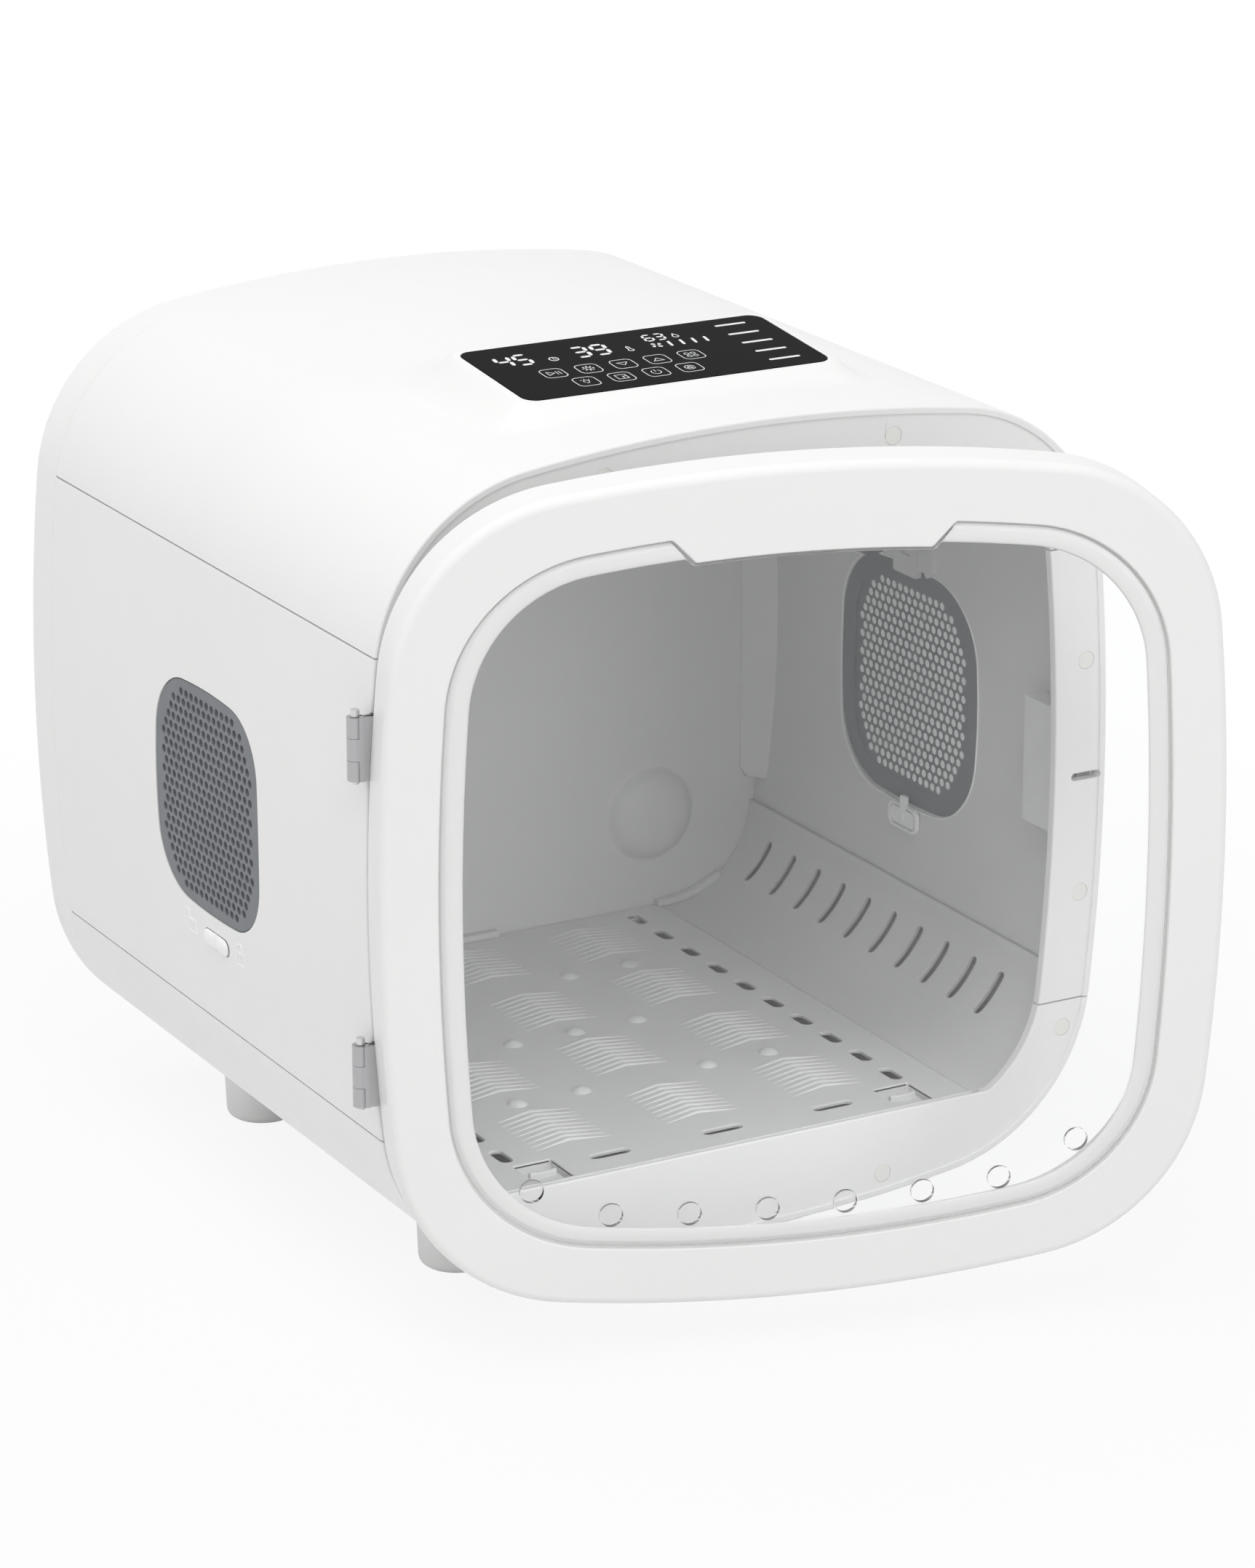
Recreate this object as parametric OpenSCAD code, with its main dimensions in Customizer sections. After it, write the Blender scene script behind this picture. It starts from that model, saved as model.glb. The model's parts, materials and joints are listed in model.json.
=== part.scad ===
// Pet drying cabinet: a rounded square box on four feet with a hinged window door,
// two removable vent grilles, a slotted floor tray and a blower and heater behind the
// back wall. Units are millimetres. The door stands ajar by door_ajar.
// Body axes used by the modules: x = 0 is the middle, y = 0 the front plane of the
// shell (+y runs to the back), z = 0 the middle height of the outline. on_floor()
// moves them to the part frame: feet on z = 0, width and depth centred on x = y = 0.

/* [Overall size] */
// Width of the body at mid height
body_w = 450; // [375:1:540]
// Height of the body outline without the feet
body_h = 451.5; // [376:0.5:542]
// Depth from the front plane of the shell to the back face
body_d = 432; // [360:1:520]
// Clearance from the floor to the lowest line of the body
foot_clear = 24.2; // [20:0.1:30]

/* [Outline] */
// Radius of the four corners of the outline
corner_r = 101.6; // [84:0.1:122]
// Radius of the bowed sides
side_r = 1265; // [1060:5:1520]
// Radius of the bowed top and bottom
crown_r = 933; // [780:1:1120]
// Wall of the outer shell
shell_t = 3; // [2.6:0.1:3.2]
// Height of the two long side seams above and below the middle
seam_z = 130; // [108:1:140]
// Width of the visible seams between shell parts
seam_gap = 0.4; // [0.2:0.1:0.8]
// Depth of the screwed-on back cover
cover_d = 32; // [27:1:38]

/* [Front rim] */
// Width of the front rim from the outline to the mouth
rim_w = 32; // [30:0.5:38]
// Depth of the front rim
rim_d = 7; // [6:0.1:8.4]
// Width of the raised edge around the rim
edge_w = 4; // [3:0.1:5]
// Step from the raised edge back to the rim face
rim_set = 1.3; // [1:0.1:1.6]
// Height of the chamber floor above the lowest line of the body
floor_h = 50.2; // [46:0.1:60]
// Diameter of the holding magnets
magnet_d = 10; // [8:0.5:12]

/* [Chamber] */
// Distance from the outer skin to the chamber wall
liner_in = 5.5; // [5.4:0.1:5.8]
// Depth of the machine bay behind the back wall
bay_d = 75; // [70:1:80]
// Chamfer in the two back corners of the chamber
back_chamfer = 16; // [12:1:20]
// Radius of the louvred lower corners
louvre_r = 63; // [58:0.5:64]
// Spacing of the louvre slots and the width of each
louvre_pitch = 28.4; // [24:0.1:34]
// Width of one louvre slot
louvre_w = 4.5; // [3.8:0.1:5.4]
// Plate thickness of the floor tray
tray_t = 2.5; // [2:0.1:3]
// Spacing of the slots along the sides of the tray
tray_pitch = 32; // [28:0.5:38]
// Size of the square rib fields on the tray
rib_field = 45; // [38:0.5:50]

/* [Vent grilles] */
// Thickness of the perforated plate
vent_t = 3.1; // [2.6:0.1:3.6]
// Diameter of the vent holes
vent_d = 4.2; // [3.5:0.1:4.6]
// Spacing of the vent holes in a row
vent_pitch = 6.42; // [6.2:0.01:6.8]
// Spacing of the rows of vent holes
vent_row = 5.5; // [5.4:0.01:5.8]
// Distance of the grille middle behind the front plane
vent_y = 193.1; // [170:0.1:200]
// Travel of the grille lock to each side of its middle
lock_travel = 6; // [4:0.1:6]

/* [Door] */
// Angle between the door and the closed position
door_ajar = 15.2; // [0:0.1:60]
// Thickness of the door
door_t = 28.1; // [24:0.1:33]
// Gap between the closed door and the shell
door_gap = 2.7; // [2.5:0.1:3]
// Width of the flange that carries the window
flange_w = 11.2; // [9.4:0.1:12]
// Thickness of the window
window_t = 3; // [2.5:0.1:3.5]
// Diameter of the breathing holes in the window
hole_d = 12.5; // [10:0.1:15]
// Radius of the hinge barrels
barrel_r = 4.4; // [4:0.1:4.8]
// Height of one hinge
hinge_h = 33.5; // [28:0.5:40]
// Radial play of pins and shafts in their bores
pin_play = 0.05; // [0.02:0.01:0.1]

/* [Display] */
// Width of the display glass
glass_w = 181.4; // [151:0.1:190]
// Depth of the display glass
glass_d = 78; // [66:0.1:84]
// Tilt of the display glass
glass_tilt = 5.9; // [5:0.1:7]

/* [Machine bay] */
// Outer radius of the blower scroll
scroll_r = 62; // [52:0.5:64]
// Outer radius of the blower wheel
wheel_r = 52; // [44:0.5:54]
// Number of blades on the blower wheel
blades = 24; // [18:1:28]

/* [Hidden] */
ha = body_w / 2;
hb = body_h / 2;
foot_z = hb + foot_clear;
cover_y = body_d - cover_d;
wall_y = body_d - bay_d;
wall_t = 2.5;
liner_t = 2;
fit = 0.4;
floor_z = -hb + floor_h;
mouth_z = floor_z + 1;
ceil_z = hb - 25.8;
ledge_z = floor_z + louvre_r - 1.4;
shelf_z = floor_z - tray_t - 0.2;
liner_y0 = rim_d + fit;

// hinge
hinge_x = -ha - 4.6;
hinge_y = 0.4;
hinge_zs = [85.2, -90.8];
leaf_t = 1.8;
pin_r = 1.9;

// door planes
door_back = -door_gap;
door_front = -door_gap - door_t;

// middle of the whole part with the door ajar, used to centre it
front_reach = min(
    door_front,
    hinge_y + (door_front + 4 - hinge_y) * cos(door_ajar) - (ha - hinge_x) * sin(door_ajar),
    hinge_y + (door_front + 0.4 - hinge_y) * cos(door_ajar) - (ha - 2.6 - hinge_x) * sin(door_ajar));
mid_y = (front_reach + body_d) / 2;
mid_x = (hinge_x - barrel_r + ha) / 2;

// display frame
disp_y = 112.75;
disp_z = hb + 9.1;

// blower
fan_x = ha - 84;
fan_z = shelf_z + 61.3;
scroll_y0 = wall_y + wall_t + fit;
scroll_y1 = cover_y + 2;
duct_x0 = fan_x - scroll_r;
duct_x1 = duct_x0 + 42;
duct_z0 = -hb + 20;

function corner_c(a, b, rv, rh, rc) =
    let (p = [a - rv, 0], q = [0, b - rh], r1 = rv - rc, r2 = rh - rc,
         d = norm(q - p), u = (q - p) / d, m = (r1 * r1 - r2 * r2 + d * d) / (2 * d),
         h = sqrt(r1 * r1 - m * m), n = [-u[1], u[0]], c1 = p + u * m + n * h)
    c1[0] > 0 && c1[1] > 0 ? c1 : p + u * m - n * h;

// middle of the corner arc of the outline
cc = corner_c(ha, hb, side_r, crown_r, corner_r);

// middle of the louvre arc: 11 inside the outline, or nearer where the corner is tighter
louvre_t = 2;
arc_z = floor_z + louvre_r;
corner_room = corner_r - shell_t - fit - louvre_r - louvre_t;
arc_x = min(ha - 11 - louvre_r, cc[0] + sqrt(pow(corner_room, 2) - pow(arc_z + cc[1], 2)));
tray_half = arc_x - 4.5;

function arc_pts(c, r, t0, t1, n) =
    [for (k = [0:n]) c + r * [cos(t0 + (t1 - t0) * k / n), sin(t0 + (t1 - t0) * k / n)]];

function no_last(v) = [for (k = [0:len(v) - 2]) v[k]];

function quarter(a, b, rv, rh, rc, i) =
    let (c = corner_c(a, b, rv, rh, rc), p = [a - rv, 0], q = [0, b - rh],
         t1 = atan2(c[1], c[0] - p[0]), t2 = atan2(c[1] - q[1], c[0]))
    concat(no_last(arc_pts(p, rv - i, 0, t1, 4)),
           no_last(arc_pts(c, rc - i, t1, t2, 12)),
           no_last(arc_pts(q, rh - i, t2, 90, 4)));

function loop4(q, top) =
    let (n = len(q))
    concat(q, [top],
           [for (k = [n - 1:-1:0]) [-q[k][0], q[k][1]]],
           [for (k = [1:n - 1]) [-q[k][0], -q[k][1]]],
           [[0, -top[1]]],
           [for (k = [n - 1:-1:1]) [q[k][0], -q[k][1]]]);

function round4(a, b, rv, rh, rc, i) = loop4(quarter(a, b, rv, rh, rc, i), [0, b - i]);

function side_x(z, i) = ha - side_r + sqrt(side_r * side_r - z * z) - i;
function crown_z(x, i) = hb - crown_r + sqrt(crown_r * crown_r - x * x) - i;

// the outline moved inwards by i
module blob(i) polygon(round4(ha, hb, side_r, crown_r, corner_r, i));

// the window opening of the door moved inwards by i
module lip(i) polygon(round4(ha - 32.1, hb - 31.7, 1458, 859, corner_r - 17.8, i));

// extrude a front-view drawing from y0 to y1
module along_y(y0, y1) translate([0, y1, 0]) rotate([90, 0, 0]) linear_extrude(y1 - y0) children();

// extrude a side-view drawing (y, z) from x0 to x1
module along_x(x0, x1) translate([x0, 0, 0]) rotate([90, 0, 90]) linear_extrude(x1 - x0) children();

// box between two corners
module block(p, q) translate(p) cube([q[0] - p[0], q[1] - p[1], q[2] - p[2]]);

// round bar along y
module bar_y(x, z, r, y0, y1) translate([x, y1, z]) rotate([90, 0, 0]) cylinder(r = r, h = y1 - y0, $fn = 32);

// rounded slot drawing, w wide in the first direction and h in the second
module slot2d(w, h) {
    r = min(w, h) / 2;
    square([w - (w > h ? 2 * r : 0), h - (w > h ? 0 : 2 * r)], center = true);
    for (s = [-1, 1])
        translate(w > h ? [s * (w / 2 - r), 0] : [0, s * (h / 2 - r)]) circle(r = r, $fn = 24);
}

// rectangle with round corners
module rrect(w, h, r) {
    square([w - 2 * r, h], center = true);
    square([w, h - 2 * r], center = true);
    for (sx = [-1, 1])
        for (sy = [-1, 1])
            translate([sx * (w / 2 - r), sy * (h / 2 - r)]) circle(r = r, $fn = 32);
}

module on_floor() translate([-mid_x, -mid_y, foot_z]) children();

module ajar() translate([hinge_x, hinge_y, 0]) rotate([0, 0, -door_ajar])
    translate([-hinge_x, -hinge_y, 0]) children();

module side(s) mirror([s < 0 ? 1 : 0, 0, 0]) children();

module mouth2d() intersection() {
    blob(rim_w);
    translate([-ha, mouth_z]) square([body_w, body_h]);
}

// magnet places: [x, z]
magnets = [[86 * ha / 225, hb - 19.8], [ha - 13.9, 65], [ha - 13.9, -68],
           [ha - 23, -hb + 80], [86.5 * ha / 225, -hb + 16]];
left_magnets = [magnets[0], magnets[3], magnets[4]];

// places for the screws that hold the back cover
boss = cc + (corner_r - 9) * [cos(45), sin(45)];

// foot places
foot_x = ha - 96;
foot_ys = [91, body_d - 96];

// ---------------------------------------------------------------- outer shell
// one piece of the shell tube, cut out by the front-view drawing given to it
module tube_piece() {
    difference() {
        along_y(0, cover_y - seam_gap / 2) intersection() {
            blob(0);
            children();
        }
        along_y(rim_d, cover_y + 1) blob(shell_t);
        along_y(-1, rim_set) blob(edge_w);
        along_y(0, rim_d + 1) mouth2d();
        for (m = magnets)
            bar_y(m[0], m[1], magnet_d / 2 + 0.1, 0, rim_set + 3.2);
        for (m = left_magnets)
            bar_y(-m[0], m[1], magnet_d / 2 + 0.1, 0, rim_set + 3.2);
    }
}

module cover_boss(sx, sz) {
    intersection() {
        bar_y(sx * boss[0], sz * boss[1], 6.5, cover_y - 22, cover_y - 0.6);
        along_y(0, cover_y) blob(0.8);
    }
}

module cover_boss_bore(sx, sz) bar_y(sx * boss[0], sz * boss[1], 1.6, cover_y - 16, cover_y + 1);

base_pts = [[0, 39.6], [65, 57.4], [100, 75], [115.5, 99], [115.5, 155], [76, 203], [0, 222]];

module base2d(g) {
    kx = glass_w / 181.4;
    polygon(concat([for (p = base_pts) [(p[0] - (p[0] > 0 ? g : 0)) * kx,
                                        p[1] + (p[1] < 120 ? g : -g)]],
                   [for (k = [5:-1:1]) [-(base_pts[k][0] - g) * kx,
                                        base_pts[k][1] + (base_pts[k][1] < 120 ? g : -g)]]));
}

module disp_frame() translate([0, disp_y, disp_z]) rotate([glass_tilt, 0, 0]) children();

module bump_out() hull() {
    disp_frame() translate([0, 0, -1.5]) linear_extrude(1.5) rrect(glass_w + 6, glass_d + 6, 10);
    translate([0, 0, hb - 9.3]) linear_extrude(2) base2d(0);
}

module bump_in() hull() {
    disp_frame() translate([0, 0, -5.5]) linear_extrude(1) rrect(glass_w - 8, glass_d - 8, 6);
    translate([0, 0, hb - 14]) linear_extrude(2) base2d(9);
}

module top_cover() on_floor() color([0.96, 0.96, 0.95]) {
    difference() {
        union() {
            tube_piece() translate([-body_w, seam_z + seam_gap / 2]) square([2 * body_w, body_h]);
            bump_out();
            for (s = [-1, 1])
                cover_boss(s, 1);
        }
        bump_in();
        disp_frame() translate([0, 0, -2.2]) linear_extrude(12)
            rrect(glass_w + 0.6, glass_d + 0.6, 8.3);
        disp_frame() translate([0, 0, -6]) linear_extrude(8) rrect(glass_w - 10, glass_d - 10, 5);
        for (s = [-1, 1])
            cover_boss_bore(s, 1);
    }
}

// outline of the grille plate, grown by g
module vent2d(g) polygon(round4(64.5 + g, 63.2 + g, 420, 400, 36 + g, 0));

vent_z = -2.7;
lock_y = vent_y - 4.1;
lock_z = -80.4;

// slot that the stem of the lock slider runs in
module lock_slot2d() square([6.4 + 2 * lock_travel, 5.6], center = true);

module side_panel(s) on_floor() color([0.96, 0.96, 0.95]) side(s) {
    difference() {
        tube_piece() translate([0, -seam_z + seam_gap / 2]) square([body_w, 2 * seam_z - seam_gap]);
        // opening and pocket of the vent grille
        translate([0, vent_y, vent_z]) along_x(ha - 20, ha + 5) vent2d(fit);
        translate([0, vent_y, vent_z]) along_x(ha - 20, ha - 3.3) vent2d(9);
        // recess and slot of the lock slider
        translate([0, lock_y, lock_z]) along_x(ha - 4.3, ha + 1) slot2d(33, 13.5);
        translate([0, lock_y, lock_z]) along_x(ha - 12, ha + 1) lock_slot2d();
        if (s > 0)
            // slot for the door tongue
            translate([ha - 12.3, 0, -1]) rotate([90, 0, 0]) translate([0, 0, -rim_d - 1])
                linear_extrude(rim_d + 2) slot2d(18.4, 4.5);
        if (s < 0)
            for (z = hinge_zs)
                block([hinge_side_x - 0.4, -1, z - hinge_h / 2 - 0.4],
                      [ha + 2, rim_set + 0.01, z + hinge_h / 2 + 0.4]);
    }
}

// inner end of the hinge leaves, measured on the mirrored side
hinge_side_x = ha - 21;

module left_side_panel() side_panel(-1);

module right_side_panel() side_panel(1);

module foot_boss(x, y) translate([x, y, -hb]) cylinder(r = 7, h = 24, $fn = 32);

module bottom_shell() on_floor() color([0.96, 0.96, 0.95]) {
    difference() {
        union() {
            tube_piece() translate([-body_w, -body_h]) square([2 * body_w, body_h - seam_z - seam_gap / 2]);
            intersection() {
                union() {
                    for (s = [-1, 1])
                        for (y = foot_ys)
                            foot_boss(s * foot_x, y);
                    for (s = [-1, 1])
                        for (y = [wall_y * 0.3, wall_y * 0.75])
                            translate([s * 52, y, -hb]) cylinder(r = 5, h = floor_h - tray_t - 0.3, $fn = 32);
                }
                along_y(0, cover_y - 1) blob(1);
            }
            for (s = [-1, 1])
                cover_boss(s, -1);
        }
        // rebate the tray lies on
        block([-tray_half - 4, 3.4, shelf_z], [tray_half + 4, rim_d + 1, mouth_z + 1]);
        // sockets of the two tray latches
        for (s = [-1, 1])
            block([s * latch_x - 5.4, 3.4, floor_z - 5], [s * latch_x + 5.4, rim_d + 1, floor_z - 2]);
        for (s = [-1, 1])
            for (y = foot_ys)
                translate([s * foot_x, y, -hb - 2]) cylinder(r = 1.6, h = 24, $fn = 24);
        for (s = [-1, 1])
            cover_boss_bore(s, -1);
        // air intake under the machine bay
        for (k = [-4:4])
            translate([k * 15, intake_y, -hb - 2]) linear_extrude(12) slot2d(8, intake_w - 12);
    }
}

latch_x = tray_half - 34.2;
intake_y = cover_y - 20;
intake_w = 34;

module back_cover() on_floor() color([0.96, 0.96, 0.95]) {
    difference() {
        union() {
            difference() {
                hull() {
                    along_y(cover_y + seam_gap / 2, body_d - 8) blob(0);
                    along_y(body_d - 4, body_d - 2.4) blob(1);
                    along_y(body_d - 1, body_d) blob(6);
                }
                hull() {
                    along_y(cover_y - 1, body_d - 9) blob(shell_t);
                    along_y(body_d - 5, body_d - shell_t) blob(shell_t + 5);
                }
            }
            for (sx = [-1, 1])
                for (sz = [-1, 1])
                    intersection() {
                        bar_y(sx * boss[0], sz * boss[1], 6.5, cover_y + 0.4, body_d - 1);
                        along_y(cover_y, body_d - 2) blob(1.5);
                    }
            // frame behind the mains inlet
            block([inlet_x - 19, body_d - 8, inlet_z - 16], [inlet_x + 19, body_d - 1, inlet_z + 16]);
        }
        for (sx = [-1, 1])
            for (sz = [-1, 1]) {
                bar_y(sx * boss[0], sz * boss[1], 1.7, cover_y, body_d + 1);
                bar_y(sx * boss[0], sz * boss[1], 4, body_d - 6, body_d + 1);
            }
        // recess and cut-out of the mains inlet
        block([inlet_x - 16.3, body_d - 3.4, inlet_z - 13.3], [inlet_x + 16.3, body_d + 1, inlet_z + 13.3]);
        block([inlet_x - 14.2, body_d - 9, inlet_z - 11.2], [inlet_x + 14.2, body_d + 1, inlet_z + 11.2]);
        // exhaust slots of the machine bay
        for (k = [-5:5])
            translate([fan_x, body_d + 1, fan_z + k * 9]) rotate([90, 0, 0]) linear_extrude(shell_t + 3)
                slot2d(2 * sqrt(54 * 54 - k * k * 81), 3.6);
    }
}

inlet_x = -ha + 85;
inlet_z = -hb + 76;

// ---------------------------------------------------------------- chamber
module chamber_liner() on_floor() color([0.82, 0.83, 0.84]) {
    difference() {
        union() {
            along_y(liner_y0, wall_y - fit) difference() {
                intersection() {
                    blob(liner_in - liner_t - 0.1);
                    translate([-ha, ledge_z]) square([body_w, ceil_z + liner_t - ledge_z]);
                }
                intersection() {
                    blob(liner_in);
                    translate([-ha, -hb]) square([body_w, hb + ceil_z]);
                }
            }
            // posts of the control board
            for (s = [-1, 1])
                for (y = [86, 142])
                    translate([s * 70 * glass_w / 181.4, y, ceil_z + 1]) cylinder(r = 3, h = 12, $fn = 24);
        }
        for (s = [-1, 1])
            side(s) {
                translate([0, vent_y, vent_z]) along_x(ha - 30, ha) vent2d(9);
                translate([0, lock_y, lock_z]) along_x(ha - 30, ha) lock_slot2d();
            }
        // air hole of the climate sensor
        for (k = [-2:2])
            translate([-60 + 6 * k, wall_y - 60, ceil_z - 1]) linear_extrude(liner_t + 2) slot2d(3, 16);
    }
}

module back_wall() on_floor() color([0.80, 0.81, 0.83]) {
    difference() {
        union() {
            along_y(wall_y, wall_y + wall_t) blob(shell_t + fit);
            // chamfered back corners
            for (s = [-1, 1])
                side(s) intersection() {
                    along_y(0, wall_y + 1) blob(liner_in + 0.1);
                    translate([0, 0, chamfer_z]) linear_extrude(ceil_z - chamfer_z - fit) polygon([
                        [ha - liner_in - back_chamfer, wall_y + 1],
                        [ha - liner_in - back_chamfer, wall_y],
                        [ha - liner_in + 4, wall_y - back_chamfer - 4],
                        [ha - liner_in + 4, wall_y + 1]]);
                }
            // cap over the blower motor
            translate([fan_x, wall_y + 1, fan_z]) rotate([90, 0, 0]) rotate_extrude($fn = 64)
                polygon([[0, 0], [27.5, 0], [27.5, 5.5], [26.5, 8], [24, 9], [0, 9]]);
            // low ridges over the back edge of the floor
            block([-35, wall_y - 6, floor_z + 0.4], [35, wall_y + 1, floor_z + 4]);
            for (s = [-1, 1])
                side(s) translate([arc_x, 0, arc_z]) along_y(wall_y - 6, wall_y + 1) polygon(concat(
                    arc_pts([0, 0], louvre_r - 0.4, -90, -56, 6),
                    arc_pts([0, 0], louvre_r - 4, -56, -90, 6)));
        }
        // room for the motor
        bar_y(fan_x, fan_z, 24.8, wall_y - 6, wall_y + wall_t + 1);
        // mouth of the warm air duct
        block([duct_x0 + 2, wall_y - 1, duct_z0 + 2], [duct_x1 - 2, wall_y + wall_t + 1, shelf_z - 3]);
        // cable hole of the control board
        bar_y(-40, ceil_z + 9, 5, wall_y - 1, wall_y + wall_t + 1);
    }
    // stand-offs of the power board
    for (x = [board_x0 + 6, board_x1 - 6])
        for (z = [board_z0 + 6, board_z1 - 6])
            bar_y(x, z, 3.5, wall_y + wall_t - 0.5, wall_y + wall_t + 9);
}

// lower end of the back chamfers
chamfer_z = ledge_z + 11;

board_x0 = -ha + 42;
board_x1 = -ha + 162;
board_z0 = -60;
board_z1 = 40;

module louvre_panel(s) on_floor() color([0.80, 0.81, 0.83]) side(s) {
    difference() {
        along_y(liner_y0, wall_y - fit) translate([arc_x, arc_z]) polygon(concat(
            arc_pts([0, 0], louvre_r, -2.5, -90, 16),
            [[-4.1, -louvre_r], [-4.1, shelf_dz], [-14, shelf_dz], [-14, shelf_dz - louvre_t],
             [-2.1, shelf_dz - louvre_t], [-2.1, -louvre_r - louvre_t]],
            arc_pts([0, 0], louvre_r + louvre_t, -90, -2.5, 16)));
        for (k = [0:louvre_n - 1])
            translate([arc_x, 72 + k * louvre_pitch, arc_z]) rotate([0, 36.5, 0])
                along_x(louvre_r - 6, louvre_r + 8) slot2d(louvre_w, 27.7);
    }
}

// top of the shelf under the tray, measured from the louvre arc centre
shelf_dz = -louvre_r - tray_t - 0.2;
louvre_n = floor((wall_y - 29 - 72) / louvre_pitch) + 1;

module left_louvre_panel() louvre_panel(-1);

module right_louvre_panel() louvre_panel(1);

tray_n = floor((wall_y - 17 - 51.6) / tray_pitch) + 1;
field_n = floor((wall_y - 43 - 74) / 80) + 1;
field_x = (tray_half - 66.5);

module chevron2d() {
    h = rib_field / 2;
    polygon([[-h, -3.9], [0, 2.1], [h, -3.9], [h, -2.3], [0, 3.7], [-h, -2.3]]);
}

module floor_tray() on_floor() color([0.83, 0.84, 0.85]) {
    difference() {
        union() {
            translate([0, 0, floor_z - tray_t]) linear_extrude(tray_t)
                translate([-tray_half, 3.8]) square([2 * tray_half, wall_y - fit - 3.8]);
            // raised front edge
            block([-tray_half, 6.2, floor_z - 1], [tray_half, 8, floor_z + 0.7]);
            // stiffening skirt under the plate
            translate([0, 0, floor_z - tray_t - 7]) linear_extrude(7.5) difference() {
                translate([-tray_half + 12.5, 11]) square([2 * tray_half - 25, wall_y - 20]);
                translate([-tray_half + 14.5, 13]) square([2 * tray_half - 29, wall_y - 24]);
            }
            // cups of the two latches
            for (s = [-1, 1])
                block([s * latch_x - 13, 7.6, floor_z - 7], [s * latch_x + 13, 37.5, floor_z - 0.5]);
        }
        for (s = [-1, 1]) {
            block([s * latch_x - 11.5, 9, floor_z - 5.5], [s * latch_x + 11.5, 36, floor_z + 1]);
            block([s * latch_x - 5.4, 3, floor_z - 5.5], [s * latch_x + 5.4, 10, floor_z - 1.7]);
        }
        // row of slots down each side
        for (s = [-1, 1])
            for (k = [0:tray_n - 1])
                translate([s * (tray_half - 24), 51.6 + k * tray_pitch, floor_z - 12]) linear_extrude(14)
                    slot2d(7.5, 18);
        // three slots at the front
        for (x = [-1, 0, 1])
            translate([x * (tray_half - 77), 27, floor_z - 12]) linear_extrude(14) slot2d(24, 6.5);
    }
    // fields of chevron ribs
    for (i = [-1:1])
        for (j = [0:field_n - 1])
            for (k = [-4:4])
                translate([i * field_x, 74 + 80 * j + k * rib_field / 8, floor_z - 0.3])
                    linear_extrude(1.3) chevron2d();
    // round studs between the fields
    for (p = [[-1, 0], [-0.5, 0], [0.5, 0], [1, 0], [-0.5, 1], [0, 1], [0.5, 1],
              [-1, 2], [-0.5, 2], [0.5, 2], [1, 2]])
        if (p[1] < field_n - 1)
            translate([p[0] * field_x, 113 + 80 * p[1], floor_z - 0.4])
                cylinder(r1 = 5.75, r2 = 3.6, h = 2.4, $fn = 32);
}

module tray_latch(s) on_floor() color([0.83, 0.84, 0.85]) {
    block([s * latch_x - 9, 12, floor_z - 5.2], [s * latch_x + 9, 26, floor_z - 3]);
    block([s * latch_x - 5, 4, floor_z - 5], [s * latch_x + 5, 13, floor_z - 3]);
    block([s * latch_x - 8, 22.5, floor_z - 4], [s * latch_x + 8, 25, floor_z]);
}

module left_tray_latch() tray_latch(-1);

module right_tray_latch() tray_latch(1);

// ---------------------------------------------------------------- vent grilles
vent_rows = [11, 14, 15, 16, 17, 18, 17, 18, 17, 18, 17, 18, 17, 18, 17, 18, 17, 16, 15, 14, 11];

module vent_grille(s) on_floor() color([0.45, 0.48, 0.52]) side(s) translate([0, vent_y, vent_z]) {
    along_x(ha - 5.6, ha - 3.4) difference() {
        vent2d(8.5);
        vent2d(-3.5);
        // passage for the bolt of the lock
        translate([-4.1 + lock_travel, -70]) square([8.4, 10], center = true);
    }
    along_x(ha - 1.8 - vent_t, ha - 1.8) difference() {
        vent2d(0);
        for (j = [0:len(vent_rows) - 1])
            for (i = [0:vent_rows[j] - 1])
                translate([(i - (vent_rows[j] - 1) / 2) * vent_pitch, (10 - j) * vent_row])
                    circle(d = vent_d, $fn = 16);
    }
}

module left_vent_grille() vent_grille(-1);

module right_vent_grille() vent_grille(1);

module grille_clip(s) on_floor() color([0.80, 0.81, 0.83]) side(s) {
    wx = side_x(vent_z + 89, liner_in);
    difference() {
        union() {
            block([wx - 2.5, vent_y - 11, vent_z + 66], [ha - 5.8, vent_y + 14, vent_z + 71]);
            block([wx - 2.5, vent_y - 11, vent_z + 66], [wx - 0.2, vent_y + 14, vent_z + 88]);
        }
        block([wx - 4, vent_y - 3, vent_z + 80], [wx + 2, vent_y + 5, vent_z + 90]);
    }
}

module left_grille_clip() grille_clip(-1);

module right_grille_clip() grille_clip(1);

module lock_slider(s) on_floor() color([0.90, 0.90, 0.90]) side(s) translate([0, lock_y, lock_z]) {
    wx = side_x(lock_z - 4, liner_in);
    along_x(ha - 4.1, ha - 2.3) slot2d(16, 11);
    along_x(ha - 2.4, ha - 1.4) square([1.6, 9], center = true);
    along_x(wx - 1.6, ha - 4) square([6, 5.2], center = true);
    along_x(wx - 1.8, wx - 0.3) slot2d(32, 10);
    along_x(wx - 1.8, wx - 0.3) translate([0, 7]) square([6, 9], center = true);
}

module left_lock_slider() lock_slider(-1);

module right_lock_slider() lock_slider(1);

// ---------------------------------------------------------------- door latch
module latch_housing() on_floor() color([0.82, 0.83, 0.84]) {
    wx = side_x(39, liner_in) - 0.2;
    difference() {
        block([wx - 14.4, 20, -39], [wx, 50, 33]);
        block([wx - 12.4, 22, -37], [wx + 1, 48, 31]);
        block([wx - 13, 18, -4.6], [wx - 0.8, 23, 2.6]);
    }
}

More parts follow.
